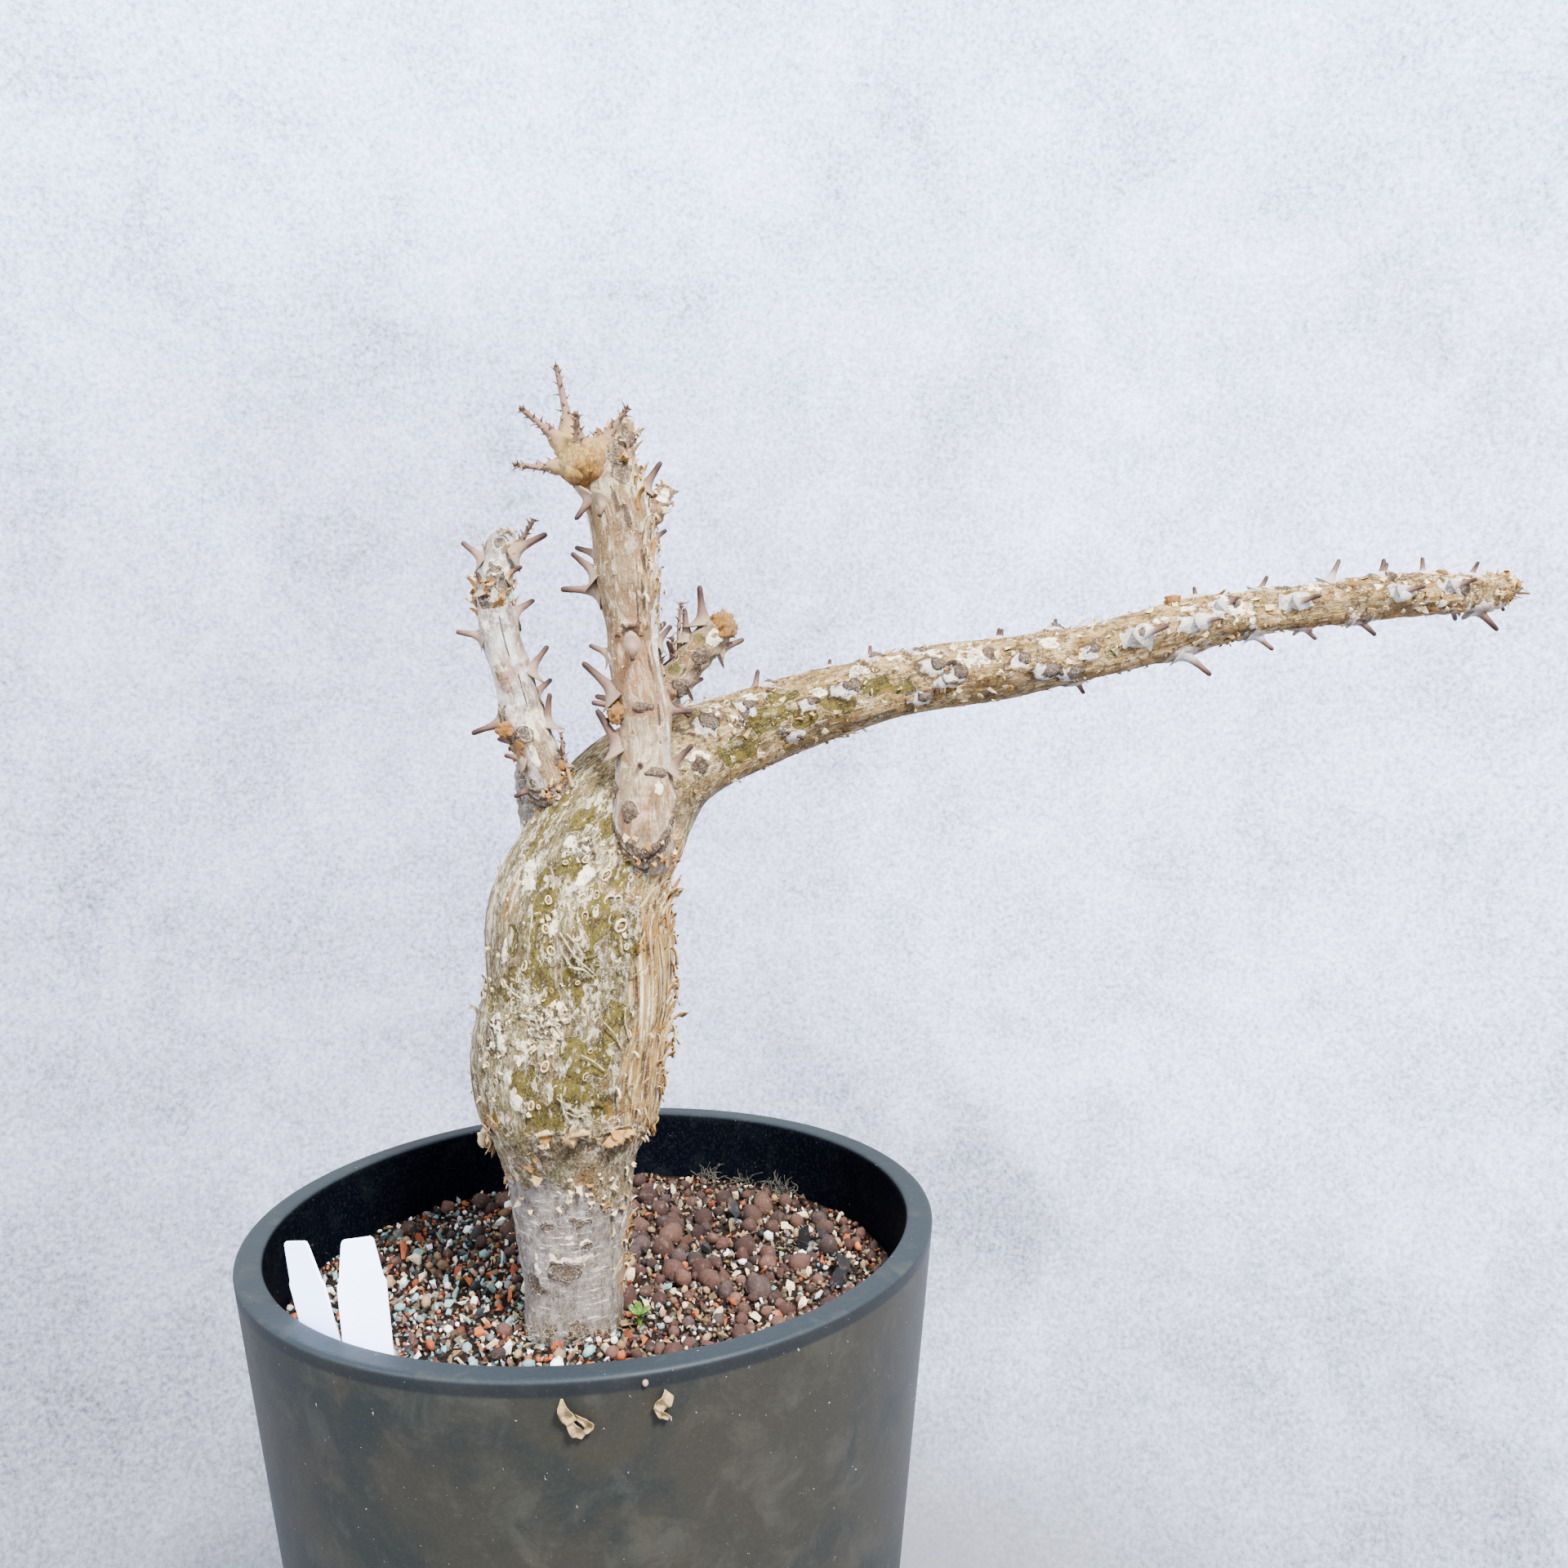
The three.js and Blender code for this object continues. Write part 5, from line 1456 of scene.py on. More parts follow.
# a flake points `way` degrees off along the limb, and stands up by `tip` degrees
def turnOfFlake(out, along, way, tip):
    way, tip = math.radians(way), math.radians(tip)
    lengthwise = along * math.cos(way) + np.cross(along, out) * math.sin(way)
    return eulerOf(lengthwise * math.cos(tip) + out * math.sin(tip),
                   out * math.cos(tip) - lengthwise * math.sin(tip))


# Flakes in bands: limb, axis, from and to, degrees, count, length, width, lift, heading, tint
def makeFlakes(name, slotName, bands):
    spots = []
    for band, (limb, axis, span, arc, count, length, width, lift, heading, tint) in enumerate(bands):
        random = np.random.default_rng(flakeLook["seed"] + 5 * band)
        for i in range(count):
            skin, out, along = limb.skinWhere(axis, random.uniform(*span), random.uniform(*arc))
            turn = turnOfFlake(out, along, random.uniform(*heading), random.uniform(*lift))
            size = random.uniform(*length)
            scale = (size * mm, random.uniform(*width) * mm, (0.5 + 0.4 * size) * mm)
            spots.append((skin - out * 0.05, turn, scale, random.uniform(*tint)))
    placeShapes(name, spots, flakeShapes, paperyBark, slotName, Spread=0.2, Tumble=0.15, Seed=4)


everyWay = (0, 360)
makeFlakes("trunk_flakes", "trunk_bark", [
    [leader, 2, (228, 316), (-34, 34), 125, (5, 13), (0.7, 1.8), (-2, 2), (-8, 8), (0.2, 1)],
    [leader, 2, (236, 322), (-30, 22), 40, (2, 4.4), (1.4, 3), (0, 24), (-60, 60), (0.3, 1)],
    [leader, 2, (238, 326), (24, 62), 60, (3, 9), (0.5, 1.1), (0, 8), (-12, 12), (0, 0.9)],
    [leader, 2, (246, 330), (60, 170), 90, (1.2, 2.8), (0.8, 2), (0, 12), everyWay, (0, 0.35)],
    [leader, 2, (264, 280), (96, 119), 60, (1.2, 2.8), (1, 2.2), (0, 28), everyWay, (0, 0.25)],
    [leader, 2, (261, 272), (130, 148), 34, (1, 2.2), (0.8, 1.8), (0, 24), everyWay, (0, 0.3)],
    [leader, 2, (214, 226), (20, 170), 26, (1.4, 3.2), (1.2, 2.6), (2, 22), (120, 240), (0, 0.5)],
    [leader, 2, (180, 208), (-30, 44), 34, (3, 8), (0.8, 1.8), (0, 14), (-20, 20), (0.1, 0.9)],
    [leader, 2, (228, 330), (180, 326), 190, (2, 6), (1, 2.6), (0, 16), (-30, 30), (0.1, 0.9)],
    [leader, 2, (318, 345), (20, 100), 26, (2, 4), (1, 2.4), (0, 16), (-40, 60), (0.2, 0.9)],
])
makeFlakes("branch_flakes", "branch_bark", [
    [leader, 0, (36, 322), (40, 190), 190, (1.6, 4.6), (1, 2.6), (-3, 6), (-50, 50), (0, 0.7)],
    [leader, 0, (36, 322), (60, 190), 34, (1.2, 2.6), (1, 2), (6, 24), everyWay, (0, 0.8)],
    [leader, 0, (40, 326), (-60, 50), 100, (1.6, 4.2), (1, 2.6), (-3, 7), (-50, 50), (0.3, 1)],
    [leader, 0, (40, 326), (-60, 20), 26, (1.2, 2.8), (1, 2.2), (6, 28), everyWay, (0.3, 1)],
    [leader, 0, (40, 322), (190, 300), 130, (1.4, 4), (1, 2.8), (-2, 14), (-60, 60), (0.1, 0.9)],
    [leader, 0, (318, 330), (0, 360), 40, (1.6, 3.8), (1.4, 2.8), (2, 26), (-40, 40), (0.2, 1)],
])
makeFlakes("stem_flakes", "stem_bark", [
    [centreStem, 2, (430, 446), (0, 360), 50, (2, 5.5), (1.4, 3.2), (2, 34), (-40, 40), (0.2, 0.9)],
    [centreStem, 2, (392, 428), (20, 76), 26, (3, 9), (0.7, 1.5), (0, 12), (-14, 14), (0.1, 0.8)],
    [centreStem, 2, (385, 426), (-40, 30), 24, (2, 5), (0.8, 1.8), (0, 16), (-30, 30), (0.2, 0.9)],
    [centreStem, 2, (322, 330), (10, 180), 30, (1.6, 3.4), (1.2, 2.6), (2, 26), (140, 220), (0.3, 1)],
    [knob, 2, (420, 428), (0, 360), 18, (1.6, 3.6), (1.2, 2.6), (4, 40), (-60, 60), (0, 0.5)],
    [leftStem, 2, (393, 404), (0, 360), 40, (2, 5), (1.6, 3.2), (4, 38), (-70, 70), (0.1, 1)],
    [leftStem, 2, (334, 343), (-30, 210), 40, (1.6, 3.4), (1.4, 3), (4, 32), everyWay, (0.4, 1)],
    [leftStem, 2, (348, 356), (120, 190), 10, (2, 4), (1.6, 3), (4, 24), everyWay, (0.6, 1)],
    [leftStem, 2, (409, 417), (0, 360), 18, (1.4, 3.4), (1.2, 2.4), (4, 36), (-50, 50), (0, 0.6)],
    [sideShoot, 2, (366, 372), (0, 360), 12, (1.4, 3), (1.2, 2.2), (2, 24), everyWay, (0.3, 1)],
    [centreStem, 2, (340, 420), (60, 150), 22, (0.8, 1.8), (0.5, 1.2), (0, 10), (-30, 30), (0.1, 0.8)],
])


# Flaps of film that hang from the torn edges round the trunk, following their heights
def makeFlaps(bands):
    random = np.random.default_rng(71)
    spots = []
    for table, count, length, lift in bands:
        for i in range(count):
            degrees = random.uniform(5, 200) if i % 4 else random.uniform(200, 360)
            height = float(aroundTable(table, np.radians(degrees))) + random.uniform(-2, 2)
            skin, out, along = leader.skinWhere(2, height, degrees)
            way = random.choice([0, 180]) + random.normal() * 34
            turn = turnOfFlake(out, along, way, random.uniform(*lift))
            size = random.uniform(*length)
            scale = (size * mm, size * random.uniform(0.7, 1.5) * mm, size * 0.6 * mm)
            spots.append((skin + out * 0.25, turn, scale, random.uniform(0.1, 0.95)))
    placeShapes("trunk_flaps", spots, flakeShapes, paperyBark, "trunk_bark", Spread=0.2, Tumble=0.12,
                Seed=6)


makeFlaps([
    (trunkLook["tornEdge"], 52, (1.8, 5.6), (0, 30)),
    (trunkLook["lowerEdge"], 30, (1.2, 3), (0, 20)),
])

# Rings of curled bark round dark pits: [height, degrees round, radius]
ringLook = {"segments": 14, "height": 0.5, "wall": 0.36, "smallCount": 70, "smallRadius": (0.45, 0.95),
            "seed": 13}
barkRings = [
    [306.5, 92, 1.6], [295.2, 106, 1.5], [290.6, 123, 1.4], [277.7, 130, 1.5], [298.4, 91, 1.9],
    [308.7, 84, 1.1], [304.6, 112, 1.2], [299, 110, 1.5], [300, 104, 1.1], [260.3, 81, 1.4], [307.8, 75, 2],
    [308.6, 70, 1.6], [300.8, 65, 2.1], [315, 82, 1.9], [302.2, 88, 1.2], [316.5, 99, 1.3], [262, 104, 1.5],
    [251, 111, 1.4], [284, 140, 1.1], [272, 133, 1.2], [286, 128, 1.1],
]


def ringMesh(name, seed, look=ringLook):
    random = np.random.default_rng(seed)
    count = look["segments"]
    angles = np.arange(count) / count * 2 * np.pi
    outer = 1 + 0.16 * np.sin(2 * angles + seed) + random.uniform(-0.08, 0.08, count)
    inner = outer - look["wall"] * (1 + random.uniform(-0.3, 0.3, count))
    high = look["height"] * (0.75 + 0.4 * np.sin(angles + 2 * seed) + random.uniform(-0.15, 0.15, count))
    section = [(outer, -0.25 + 0 * high), (0.96 * outer, high), (inner + 0.05, 0.92 * high),
               (inner, -0.2 + 0 * high)]
    points = np.stack([np.stack([r * np.cos(angles), r * np.sin(angles), z], -1) for r, z in section],
                      1).reshape(-1, 3)
    row, side = np.meshgrid(np.arange(count), np.arange(4), indexing="ij")
    corners = [((row + a) % count * 4 + (side + b) % 4).ravel() for a,
               b in ((0, 0), (1, 0), (1, 1), (0, 1))]
    ring = (points, [np.stack(corners, 1)], {"away": np.full(len(points), 0.1)})
    pit = np.stack([inner * np.cos(angles), inner * np.sin(angles), 0 * angles + 0.04], -1)
    spoke = np.arange(count)
    after = (spoke + 1) % count
    top, under = np.full(count, count), np.full(count, count + 1)
    fans = np.concatenate([np.stack([top, spoke, after], 1), np.stack([under, after, spoke], 1)])
    pit = (np.vstack([pit, [0, 0, 0.1], [0, 0, -0.3]]), [fans], {"away": np.full(count + 2, 2)})
    points, faces, fields = pileUp([ring, pit])
    return makeMesh(name, points / mm, faces, fields)


def makeRings(look):
    random = np.random.default_rng(look["seed"])
    shapes = shapeCollection("ring", [ringMesh(f"ring{i}", i) for i in range(5)])
    rings = list(barkRings)
    for i in range(look["smallCount"]):
        rings.append((random.uniform(246, 326), random.uniform(60, 320),
                      random.uniform(*look["smallRadius"])))
    spots = []
    for place, degrees, radius in rings:
        skin, out, along = leader.skinWhere(2, place, degrees)
        scale = (radius * mm, radius * random.uniform(0.7, 0.95) * mm, min(radius, 1.4) * mm)
        spots.append((skin + out * 0.05, eulerOf(along, out), scale, random.uniform(0, 0.5)))
    placeShapes("bark_rings", spots, shapes, paperyBark, "trunk_bark", Spread=0.1, Tumble=0.12, Seed=8)


makeRings(ringLook)
print("bark flakes made")


# Woolly buds: the big cluster on the centre stem and the small ones on the twigs

budLook = {
    "centre": (4.2, -39, 434.5), "size": (7.7, 7.4, 7.7), "seed": 61,
    "lumps": [((7.2, -41.5, 431.8), (3.7, 3.6, 3.6)), ((1.6, -42, 431.2), (3.5, 3.4, 3.4)),
              ((6.6, -41, 438), (3.4, 3.4, 3.3))],
    # shade and light are painted shade in the wool's hollows and painted highlight on its raised tufts
    "wool": (0.42, 0.285, 0.085), "gold": (0.24, 0.1, 0.007), "shade": (0.1, 0.037, 0.006),
    "light": (0.68, 0.5, 0.2), "sprigFoot": (0.33, 0.212, 0.078), "sprigSkin": (0.2, 0.12, 0.077),
    "prickle": (0.08, 0.039, 0.025), "woollyGirths": [1.5, 1.3, 0.92, 0.58, 0.4, 0.3, 0.27],
    "twigGirths": [1, 0.8, 0.62, 0.5, 0.45, 0.4, 0.36],
}
sprigs = [
    [(0.5, -38.5, 439), (-2.9, -39, 462), 2.5], [(-0.5, -40, 438), (-13.4, -44, 449), 2.4],
    [(-0.5, -39, 433.5), (-15.6, -42, 433.4), 2.2], [(4, -42, 437), (2.2, -49.5, 446.6), 2.5],
    [(8.5, -40, 437), (17.2, -43, 449.6), 2.4], [(1, -34, 438), (-6, -24, 448), 2.2],
    [(7, -33, 437), (8, -22, 446), 2.2],
]
twigs = [  # [start, end, foot] of the thorny twigs beside the stems
    [(30.5, -34.5, 379.5), (31.2, -36, 394.5), 1.1], [(29.5, -35, 373), (27.8, -37, 384.5), 1],
    [(42.5, -34, 378.5), (46.8, -35, 386.5), 1.2], [(24.8, -38, 373.5), (23.6, -39, 380.5), 1.1],
    [(-16.8, -24, 411), (-11, -24, 420.5), 1.5], [(-2.4, -28, 340.5), (-5.2, -29, 357.2), 0.8],
]


def woolMaterial(look):
    material, shader = newMaterial("woolly", 0.95, 0.1)
    spot = placeInMm()
    axes, clump = axesOf(spot), noiseOf(spot, 0.42, 5, 0.7, 0.8)
    fine = noiseOf(stretched(spot, (1, 1, 0.35)), 2.6, 4, 0.7, 0.8)
    old = (axes["X"] - axes["Z"] + 430.5) * 0.022  # golden low at the right, creamy above
    colour = coated(look["wool"], [
        (rampOf(clump + mathOf("MINIMUM", old, 0.25), 0.36, 0.62), look["gold"]),
        # darker where the bump is low: painted shade in the hollows; lighter where it is high: painted
        # highlight on the raised tufts
        (rampOf(fine, 0.5, 0.34) * 0.6, look["shade"]),
        (rampOf(fine, 0.56, 0.7) * 0.6, look["light"]),
    ])
    paint(shader, colour, fine + clump * 0.8, 0.0009, 1)
    shader["Sheen Weight"].default_value = 0.15
    return material


def sprigMaterial(look):
    material, shader = newMaterial("thornySprig", 0.7, 0.25)
    lines = useGroup(longGrain, Vector=fieldOf("grain", "Vector"), Scale=1.2, Stretch=(1, 1, 0.2),
                     Crack=0.02)
    tone = fieldOf("tone") + (lines["Streak"] - 0.5) * 0.5
    colour = coated(look["sprigFoot"], [
        (rampOf(tone, 0.1, 0.5), look["sprigSkin"]),
        (rampOf(tone, 0.6, 1.05), look["prickle"]),
        (lines["Crack"] * 0.5, look["prickle"]),
    ])
    paint(shader, colour, lines["Streak"], 0.0004, 0.7)
    return material


woolly, sprigSkin = woolMaterial(budLook), sprigMaterial(budLook)


def woolBall(centre, size, seed, detail=4, roughness=1):
    work = bmesh.new()
    bmesh.ops.create_icosphere(work, subdivisions=detail, radius=1)
    points = np.array([vertex.co for vertex in work.verts])
    faces = np.array([[vertex.index for vertex in face.verts] for face in work.faces])
    work.free()
    placed = points * np.array(size)
    swell = 0.12 * layered(placed, 5, seed, 2) + 0.07 * np.abs(softNoise(placed, 2.4, seed + 3))
    swell = swell + 0.05 * softNoise(placed * [1, 1, 0.4], 0.8, seed + 5) - 0.03
    swell = swell + (roughness - 1) * (0.5 * np.abs(softNoise(placed, 1.3, seed + 7)) - 0.12)
    placed = placed * (1 + swell * min(1, roughness))[:, None] + np.array(centre)
    return placed, [faces], {}


def coneMesh(name, sides=5):
    angles = np.arange(sides) / sides * 2 * np.pi
    rings = [(0, 1), (0.35, 0.55), (0.8, 0.25)]
    points = [[r * math.cos(a), r * math.sin(a), z] for z, r in rings for a in angles] + [[0, 0, 0],
                                                                                          [0, 0, 1]]
    faces = [group[:, ::-1] for group in gridFaces(3, sides)]
    tone = np.append(np.repeat([0.5, 0.8, 1], sides), [0.5, 1])
    return makeMesh(name, np.array(points) * (0.22, 0.22, 1) / mm, faces, {"tone": tone})


def sprigShape(start, end, foot, girth, random):
    low, high = np.array(start, float), np.array(end, float)
    bow = np.cross(high - low, [0.3, 0.8, 0.5])
    bow = bow / np.linalg.norm(bow) * random.uniform(-0.05, 0.05) * np.linalg.norm(high - low)
    shares = [0, 0.14, 0.28, 0.42, 0.6, 0.85, 1]
    points = [[*(low + (high - low) * s + bow * math.sin(math.pi * s)), max(foot * g, 0.36)] for s,
              g in zip(shares, girth)]
    limb = Limb(points)

    def relief(limb, shares, arc, angles, radius, grain):
        nodes = peak(np.mod(arc, 3.4), 1.7, 0.5)[:, None]
        tone = np.repeat(shares[:, None], len(angles), 1)
        return 0.14 * nodes + 0.2 * radius * softNoise(grain, 1.4, 4), {"tone": tone}

    return limb, loft(limb, 0, 1, 34, 12, relief)


def makeSprigs(name, slotName, lines, girths, seed, pricklesEach):
    random = np.random.default_rng(seed)
    parts, spots = [], []
    for line in lines:
        limb, shape = sprigShape(*line, girths, random)
        parts.append(shape)
        for i in range(pricklesEach):
            share = 0.32 + 0.68 * min(1, (i + random.random()) / pricklesEach) ** 0.8
            skin, out, along = limb.skinAt(share, (i * 137.5 + random.uniform(-20, 20)) % 360)
            aim = out + along * random.uniform(0.2, 0.9)
            scale = (2.1 * mm, 2.1 * mm, random.uniform(1.2, 2.4) * mm)
            spots.append((skin - out * 0.1, eulerOf(np.cross(aim, along) + 1e-3, aim), scale, 0))
    fuse(name, parts, sprigSkin, slotName)
    placeShapes(name + "_prickles", spots, prickleShapes, sprigSkin, slotName, Spread=0.15, Tumble=0.2,
                Seed=9)


prickleShapes = shapeCollection("prickle", [coneMesh("prickle0"), coneMesh("prickle1", 6)])
makeSprigs("bud_sprigs", "bud_wool", sprigs, budLook["woollyGirths"], 8, 20)
makeSprigs("stem_twigs", "branch_bark", twigs, budLook["twigGirths"], 9, 14)
budBalls = [woolBall(budLook["centre"], budLook["size"], budLook["seed"], 5)]
budBalls += [woolBall(place, size, 63 + i, 4) for i, (place, size) in enumerate(budLook["lumps"])]
fuse("bud_wool", budBalls, woolly, "bud_wool", "bud_cluster")
smallBuds = [
    [(43.4, -35.5, 387.6), (4, 3.8, 3.9)], [(11.2, -40.5, 362.4), (2.7, 2.6, 2.9)],
    [(-21.4, -28.6, 358.2), (2.4, 2.2, 2.4)], [(200.8, -0.6, 395.2), (2.6, 2.6, 2.4)],
    [(263.4, -5, 399.4), (1.7, 1.6, 1.5)], [(299.2, -2, 403.2), (2, 1.8, 1.7)],
    [(309.6, -4.8, 399.6), (1.9, 1.8, 1.8)], [(-5.3, -27.6, 347.2), (1.7, 1.5, 1.6)],
]
smallBalls = [woolBall(place, size, 80 + i, 4, 2) for i, (place, size) in enumerate(smallBuds)]
fuse("small_buds", smallBalls, woolly, "bud_wool")
print("buds and sprigs made")


# Labels: plain white plates, pushed into the grit at the left

labelLook = {
    "width": 12.9, "topWidth": 8.6, "headWidth": 11.6, "head": 12, "length": 62, "thickness": 0.8,
    "bevel": 0.22, "white": (0.92, 0.96, 0.99), "shade": (0.74, 0.82, 0.94), "smudge": (0.42, 0.44, 0.45),
    "glow": (1.4, 2.1, 4.4),
}
labelPlaces = {
    "label_left": {"shoulder": (-78.2, -62, 210), "turn": -34, "lean": -11.5},
    "label_right": {"shoulder": (-62.6, -69, 212), "turn": 0, "lean": -3},
}


def labelMaterial(look):
    material, shader = newMaterial("blankLabel", 0.38, 0.5)
    spot = placeInMm()
    soft = noiseOf(spot, 0.12, 3, 0.6)
    # bluer and darker towards the plate's lower end: painted shade low in the pot, with a little random
    # tone
    shade = rampOf(axesOf(spot)["Z"], 206, 176) * 0.55 + rampOf(soft, 0.5, 0.75) * 0.12
    marks = flecksOn(spot, 0.5, 0.05, 0.12) * 0.22
    colour = mixOf(marks, mixOf(shade, look["white"], look["shade"]), look["smudge"])
    feed(shader["Roughness"], 0.32 + soft * 0.2)
    feed(shader["Emission Color"], look["glow"])  # painted light: the plate glows bluish, standing in for the sky's light that the thin plastic lets through
    shader["Emission Strength"].default_value = 1
    paint(shader, colour, noiseOf(spot, 0.8), 0.00008, 0.5)
    return material


blankLabel = labelMaterial(labelLook)


def makeLabel(name, place, look):
    half, top, neck = look["width"] / 2, look["topWidth"] / 2, look["headWidth"] / 2
    head, length = look["head"], look["length"]
    outline = [(-half, head - length), (half, head - length), (half, -0.4), (half - 0.25, 0), (neck, 0.9),
               (top, head - 1),
               (top - 0.35, head - 0.3), (top - 1, head), (-top + 1, head), (-top + 0.35, head - 0.3),
               (-top, head - 1),
               (-neck, 0.9), (-half + 0.25, 0), (-half, -0.4)]
    work = bmesh.new()
    front = [work.verts.new((x * mm, -look["thickness"] / 2 * mm, z * mm)) for x, z in outline]
    face = work.faces.new(front)
    pulled = bmesh.ops.extrude_face_region(work, geom=[face])
    moved = [part for part in pulled["geom"] if isinstance(part, bmesh.types.BMVert)]
    bmesh.ops.translate(work, verts=moved, vec=(0, look["thickness"] * mm, 0))
    bmesh.ops.recalc_face_normals(work, faces=work.faces)
    turn = Matrix.Rotation(math.radians(place["turn"]), 4, "Z")
    lean = Matrix.Rotation(math.radians(place["lean"]), 4, "Y")
    work.transform(Matrix.Translation(Vector(place["shoulder"]) * mm) @ lean @ turn)
    mesh = bpy.data.meshes.new(name + "_plate")
    work.to_mesh(mesh)
    work.free()
    plate = makePiece(name + "_plate", mesh, blankLabel)
    edge = plate.modifiers.new("edge", "BEVEL")
    edge.width, edge.segments, edge.limit_method = look["bevel"] * mm, 3, "ANGLE"
    bakeModifiers(plate)
    return keepPiece(plate, "label_plastic", name)


for labelName, labelPlace in labelPlaces.items():
    makeLabel(labelName, labelPlace, labelLook)
print("labels made")


# Grit: a dark bed with thousands of stones on it, small and bright at the left, clay balls at the right

gritLook = {
    "level": 172.5, "wallLevel": 175.5, "seed": 91, "bedSides": 96, "underSpacing": 3, "balls": 250,
    "ballSize": (1.9, 4.9), "chips": 5400, "chipSize": (0.7, 1.75), "bigChips": 560,
    # the bed's colours are the soil's own, made darker as painted shade in the gaps between stones
    "bigChipSize": (1.6, 3.1), "dark": (0.0067, 0.004, 0.0033), "earth": (0.02, 0.011, 0.0073),
    "dust": (0.11, 0.083, 0.062),
}
stoneColours = {  # [colour, share on the left, share on the right]
    "beige": [(0.28, 0.18, 0.088), 0.14, 0.26], "tan": [(0.16, 0.09, 0.043), 0.08, 0.14],
    "cream": [(0.607, 0.492, 0.312), 0.1, 0.12], "white": [(0.874, 0.874, 0.855), 0.1, 0.06],
    "brick": [(0.24, 0.047, 0.012), 0.13, 0.07], "orange": [(0.334, 0.08, 0.015), 0.06, 0.04],
    "paleBlue": [(0.187, 0.325, 0.31), 0.2, 0.03], "grey": [(0.15, 0.15, 0.145), 0.08, 0.06],
    "charcoal": [(0.0067, 0.0073, 0.0093), 0.05, 0.04], "clay": [(0.05, 0.019, 0.013), 0.09, 0.2],
}
shownStones = [  # [x, y, radius, colour] of single stones that stand out in the photo
    [-47.5, -4.3, 2.6, "paleBlue"], [-27.6, -18.4, 3, "paleBlue"], [-34.7, -9.1, 2.4, "white"],
    [-40.5, -19.5, 2.8, "paleBlue"], [-54, 14.3, 2.4, "white"], [-66.7, 39.7, 3.2, "brick"],
    [-63, 51.7, 2.6, "brick"], [-52, 83.3, 2.6, "paleBlue"], [-36.9, -10.9, 2.2, "charcoal"],
    [-37.1, 3.9, 2.4, "charcoal"], [71.6, 18.8, 5.4, "charcoal"], [79, 19.5, 4, "charcoal"],
    [81.3, -4.5, 5.4, "charcoal"], [78.1, -15.1, 4, "charcoal"], [51.1, 50.4, 3.6, "charcoal"],
    [70.1, 46.5, 2.4, "white"], [30.3, -24.9, 2.6, "orange"], [42.2, -22, 2.4, "brick"],
    [48.1, 40.1, 2.6, "beige"], [61.1, 21.8, 2.6, "beige"], [-66.1, -12.8, 2.2, "orange"],
    [-50.1, -30.7, 2.4, "brick"], [76, 41.4, 2.2, "cream"], [31.6, -35.5, 2.2, "white"],
]
clayBrowns = [(0.05, 0.02, 0.015), (0.033, 0.012, 0.0087), (0.067, 0.03, 0.022), (0.04, 0.023, 0.021),
              (0.087, 0.041, 0.028)]


def gritLevel(x, y):
    share = np.hypot(x, y) / (potRadius(potLook, gritLook["level"]) - potLook["wall"])
    return gritLook["level"] + (gritLook["wallLevel"] - gritLook["level"]) * share ** 2


def chipMesh(name, seed):
    random = np.random.default_rng(seed)
    work = bmesh.new()
    for i in range(9):
        spot = random.normal(size=3)
        work.verts.new(spot / np.linalg.norm(spot) * (1.15, 0.9, 0.72) * random.uniform(0.8, 1.1))
    hull = bmesh.ops.convex_hull(work, input=work.verts)
    inner = [part for part in hull["geom_interior"] if isinstance(part, bmesh.types.BMVert)]
    bmesh.ops.delete(work, geom=inner, context="VERTS")
    bmesh.ops.recalc_face_normals(work, faces=work.faces)
    mesh = meshOf(work, name)
    mesh.shade_flat()
    return mesh


def ballMesh(name, seed, detail):
    work = bmesh.new()
    bmesh.ops.create_icosphere(work, subdivisions=detail, radius=1)
    for vertex in work.verts:
        lumpy = bumpyNoise.noise(vertex.co * 1.3 + Vector((seed * 3.1, 0, 0)))
        fine = bumpyNoise.noise(vertex.co * 3.4 + Vector((0, seed * 2.3, 0)))
        vertex.co *= 1 + 0.3 * lumpy + 0.05 * fine
        vertex.co.z *= 0.9
    mesh = meshOf(work, name)
    mesh.shade_smooth()
    return mesh


def stoneMaterial(name, roughness, bumpDepth):
    material, shader = newMaterial(name, roughness, 0.35)
    spot, tint = placeInMm(), fieldOf("tint", "Color")
    fine, dusty = noiseOf(spot, 1.4, 4, 0.7), noiseOf(spot, 0.5, 3, 0.6)
    colour = mixOf(rampOf(fine, 0.54, 0.34) * 0.85, tint, vectorMath("SCALE", tint, scale=0.45))
    dust = vectorMath("ADD", tint, gritLook["dust"])
    paint(shader, mixOf(rampOf(dusty, 0.54, 0.72) * 0.5, colour, dust), fine, bumpDepth, 0.8)
    return material


def makeBed(look):
    inner = potRadius(potLook, look["level"]) - potLook["wall"] - 0.4
    floor, sides = potLook["floor"] + 0.3, look["bedSides"]
    foot = potRadius(potLook, floor) - potLook["wall"] - 1
    wall = [(foot + (inner - foot) * s, floor + (look["wallLevel"] - floor) * s)
            for s in (0.25, 0.5, 0.75, 1)]
    rings = [(0.05, floor), (foot, floor), *wall]
    under = len(rings)
    rings += [(r, 0) for r in np.linspace(inner - 1.5, 0.05, 44)]
    points = turned(rings, sides)
    top = points[under:]
    top[..., 2] = gritLevel(top[..., 0], top[..., 1]) - 1.2 + 0.8 * layered(top, 7, 5, 2)
    points = np.vstack([points.reshape(-1, 3), [0, 0, floor], [0, 0, look["level"] - 1.2]])
    faces = [group[:, ::-1] for group in gridFaces(len(rings), sides)]
    # the bed's very dark earth is partly painted shade, darkening the gaps between the stones
    colours = (look["dark"], look["earth"])
    earth, shader = mottled("bedEarth", 0.95, 0.1, (0.9, 5, 0.7), (0.4, 0.62), colours, (0.0012, 1))
    fuse("grit_bed", [(points, faces, {})], earth, "grit", "substrate")


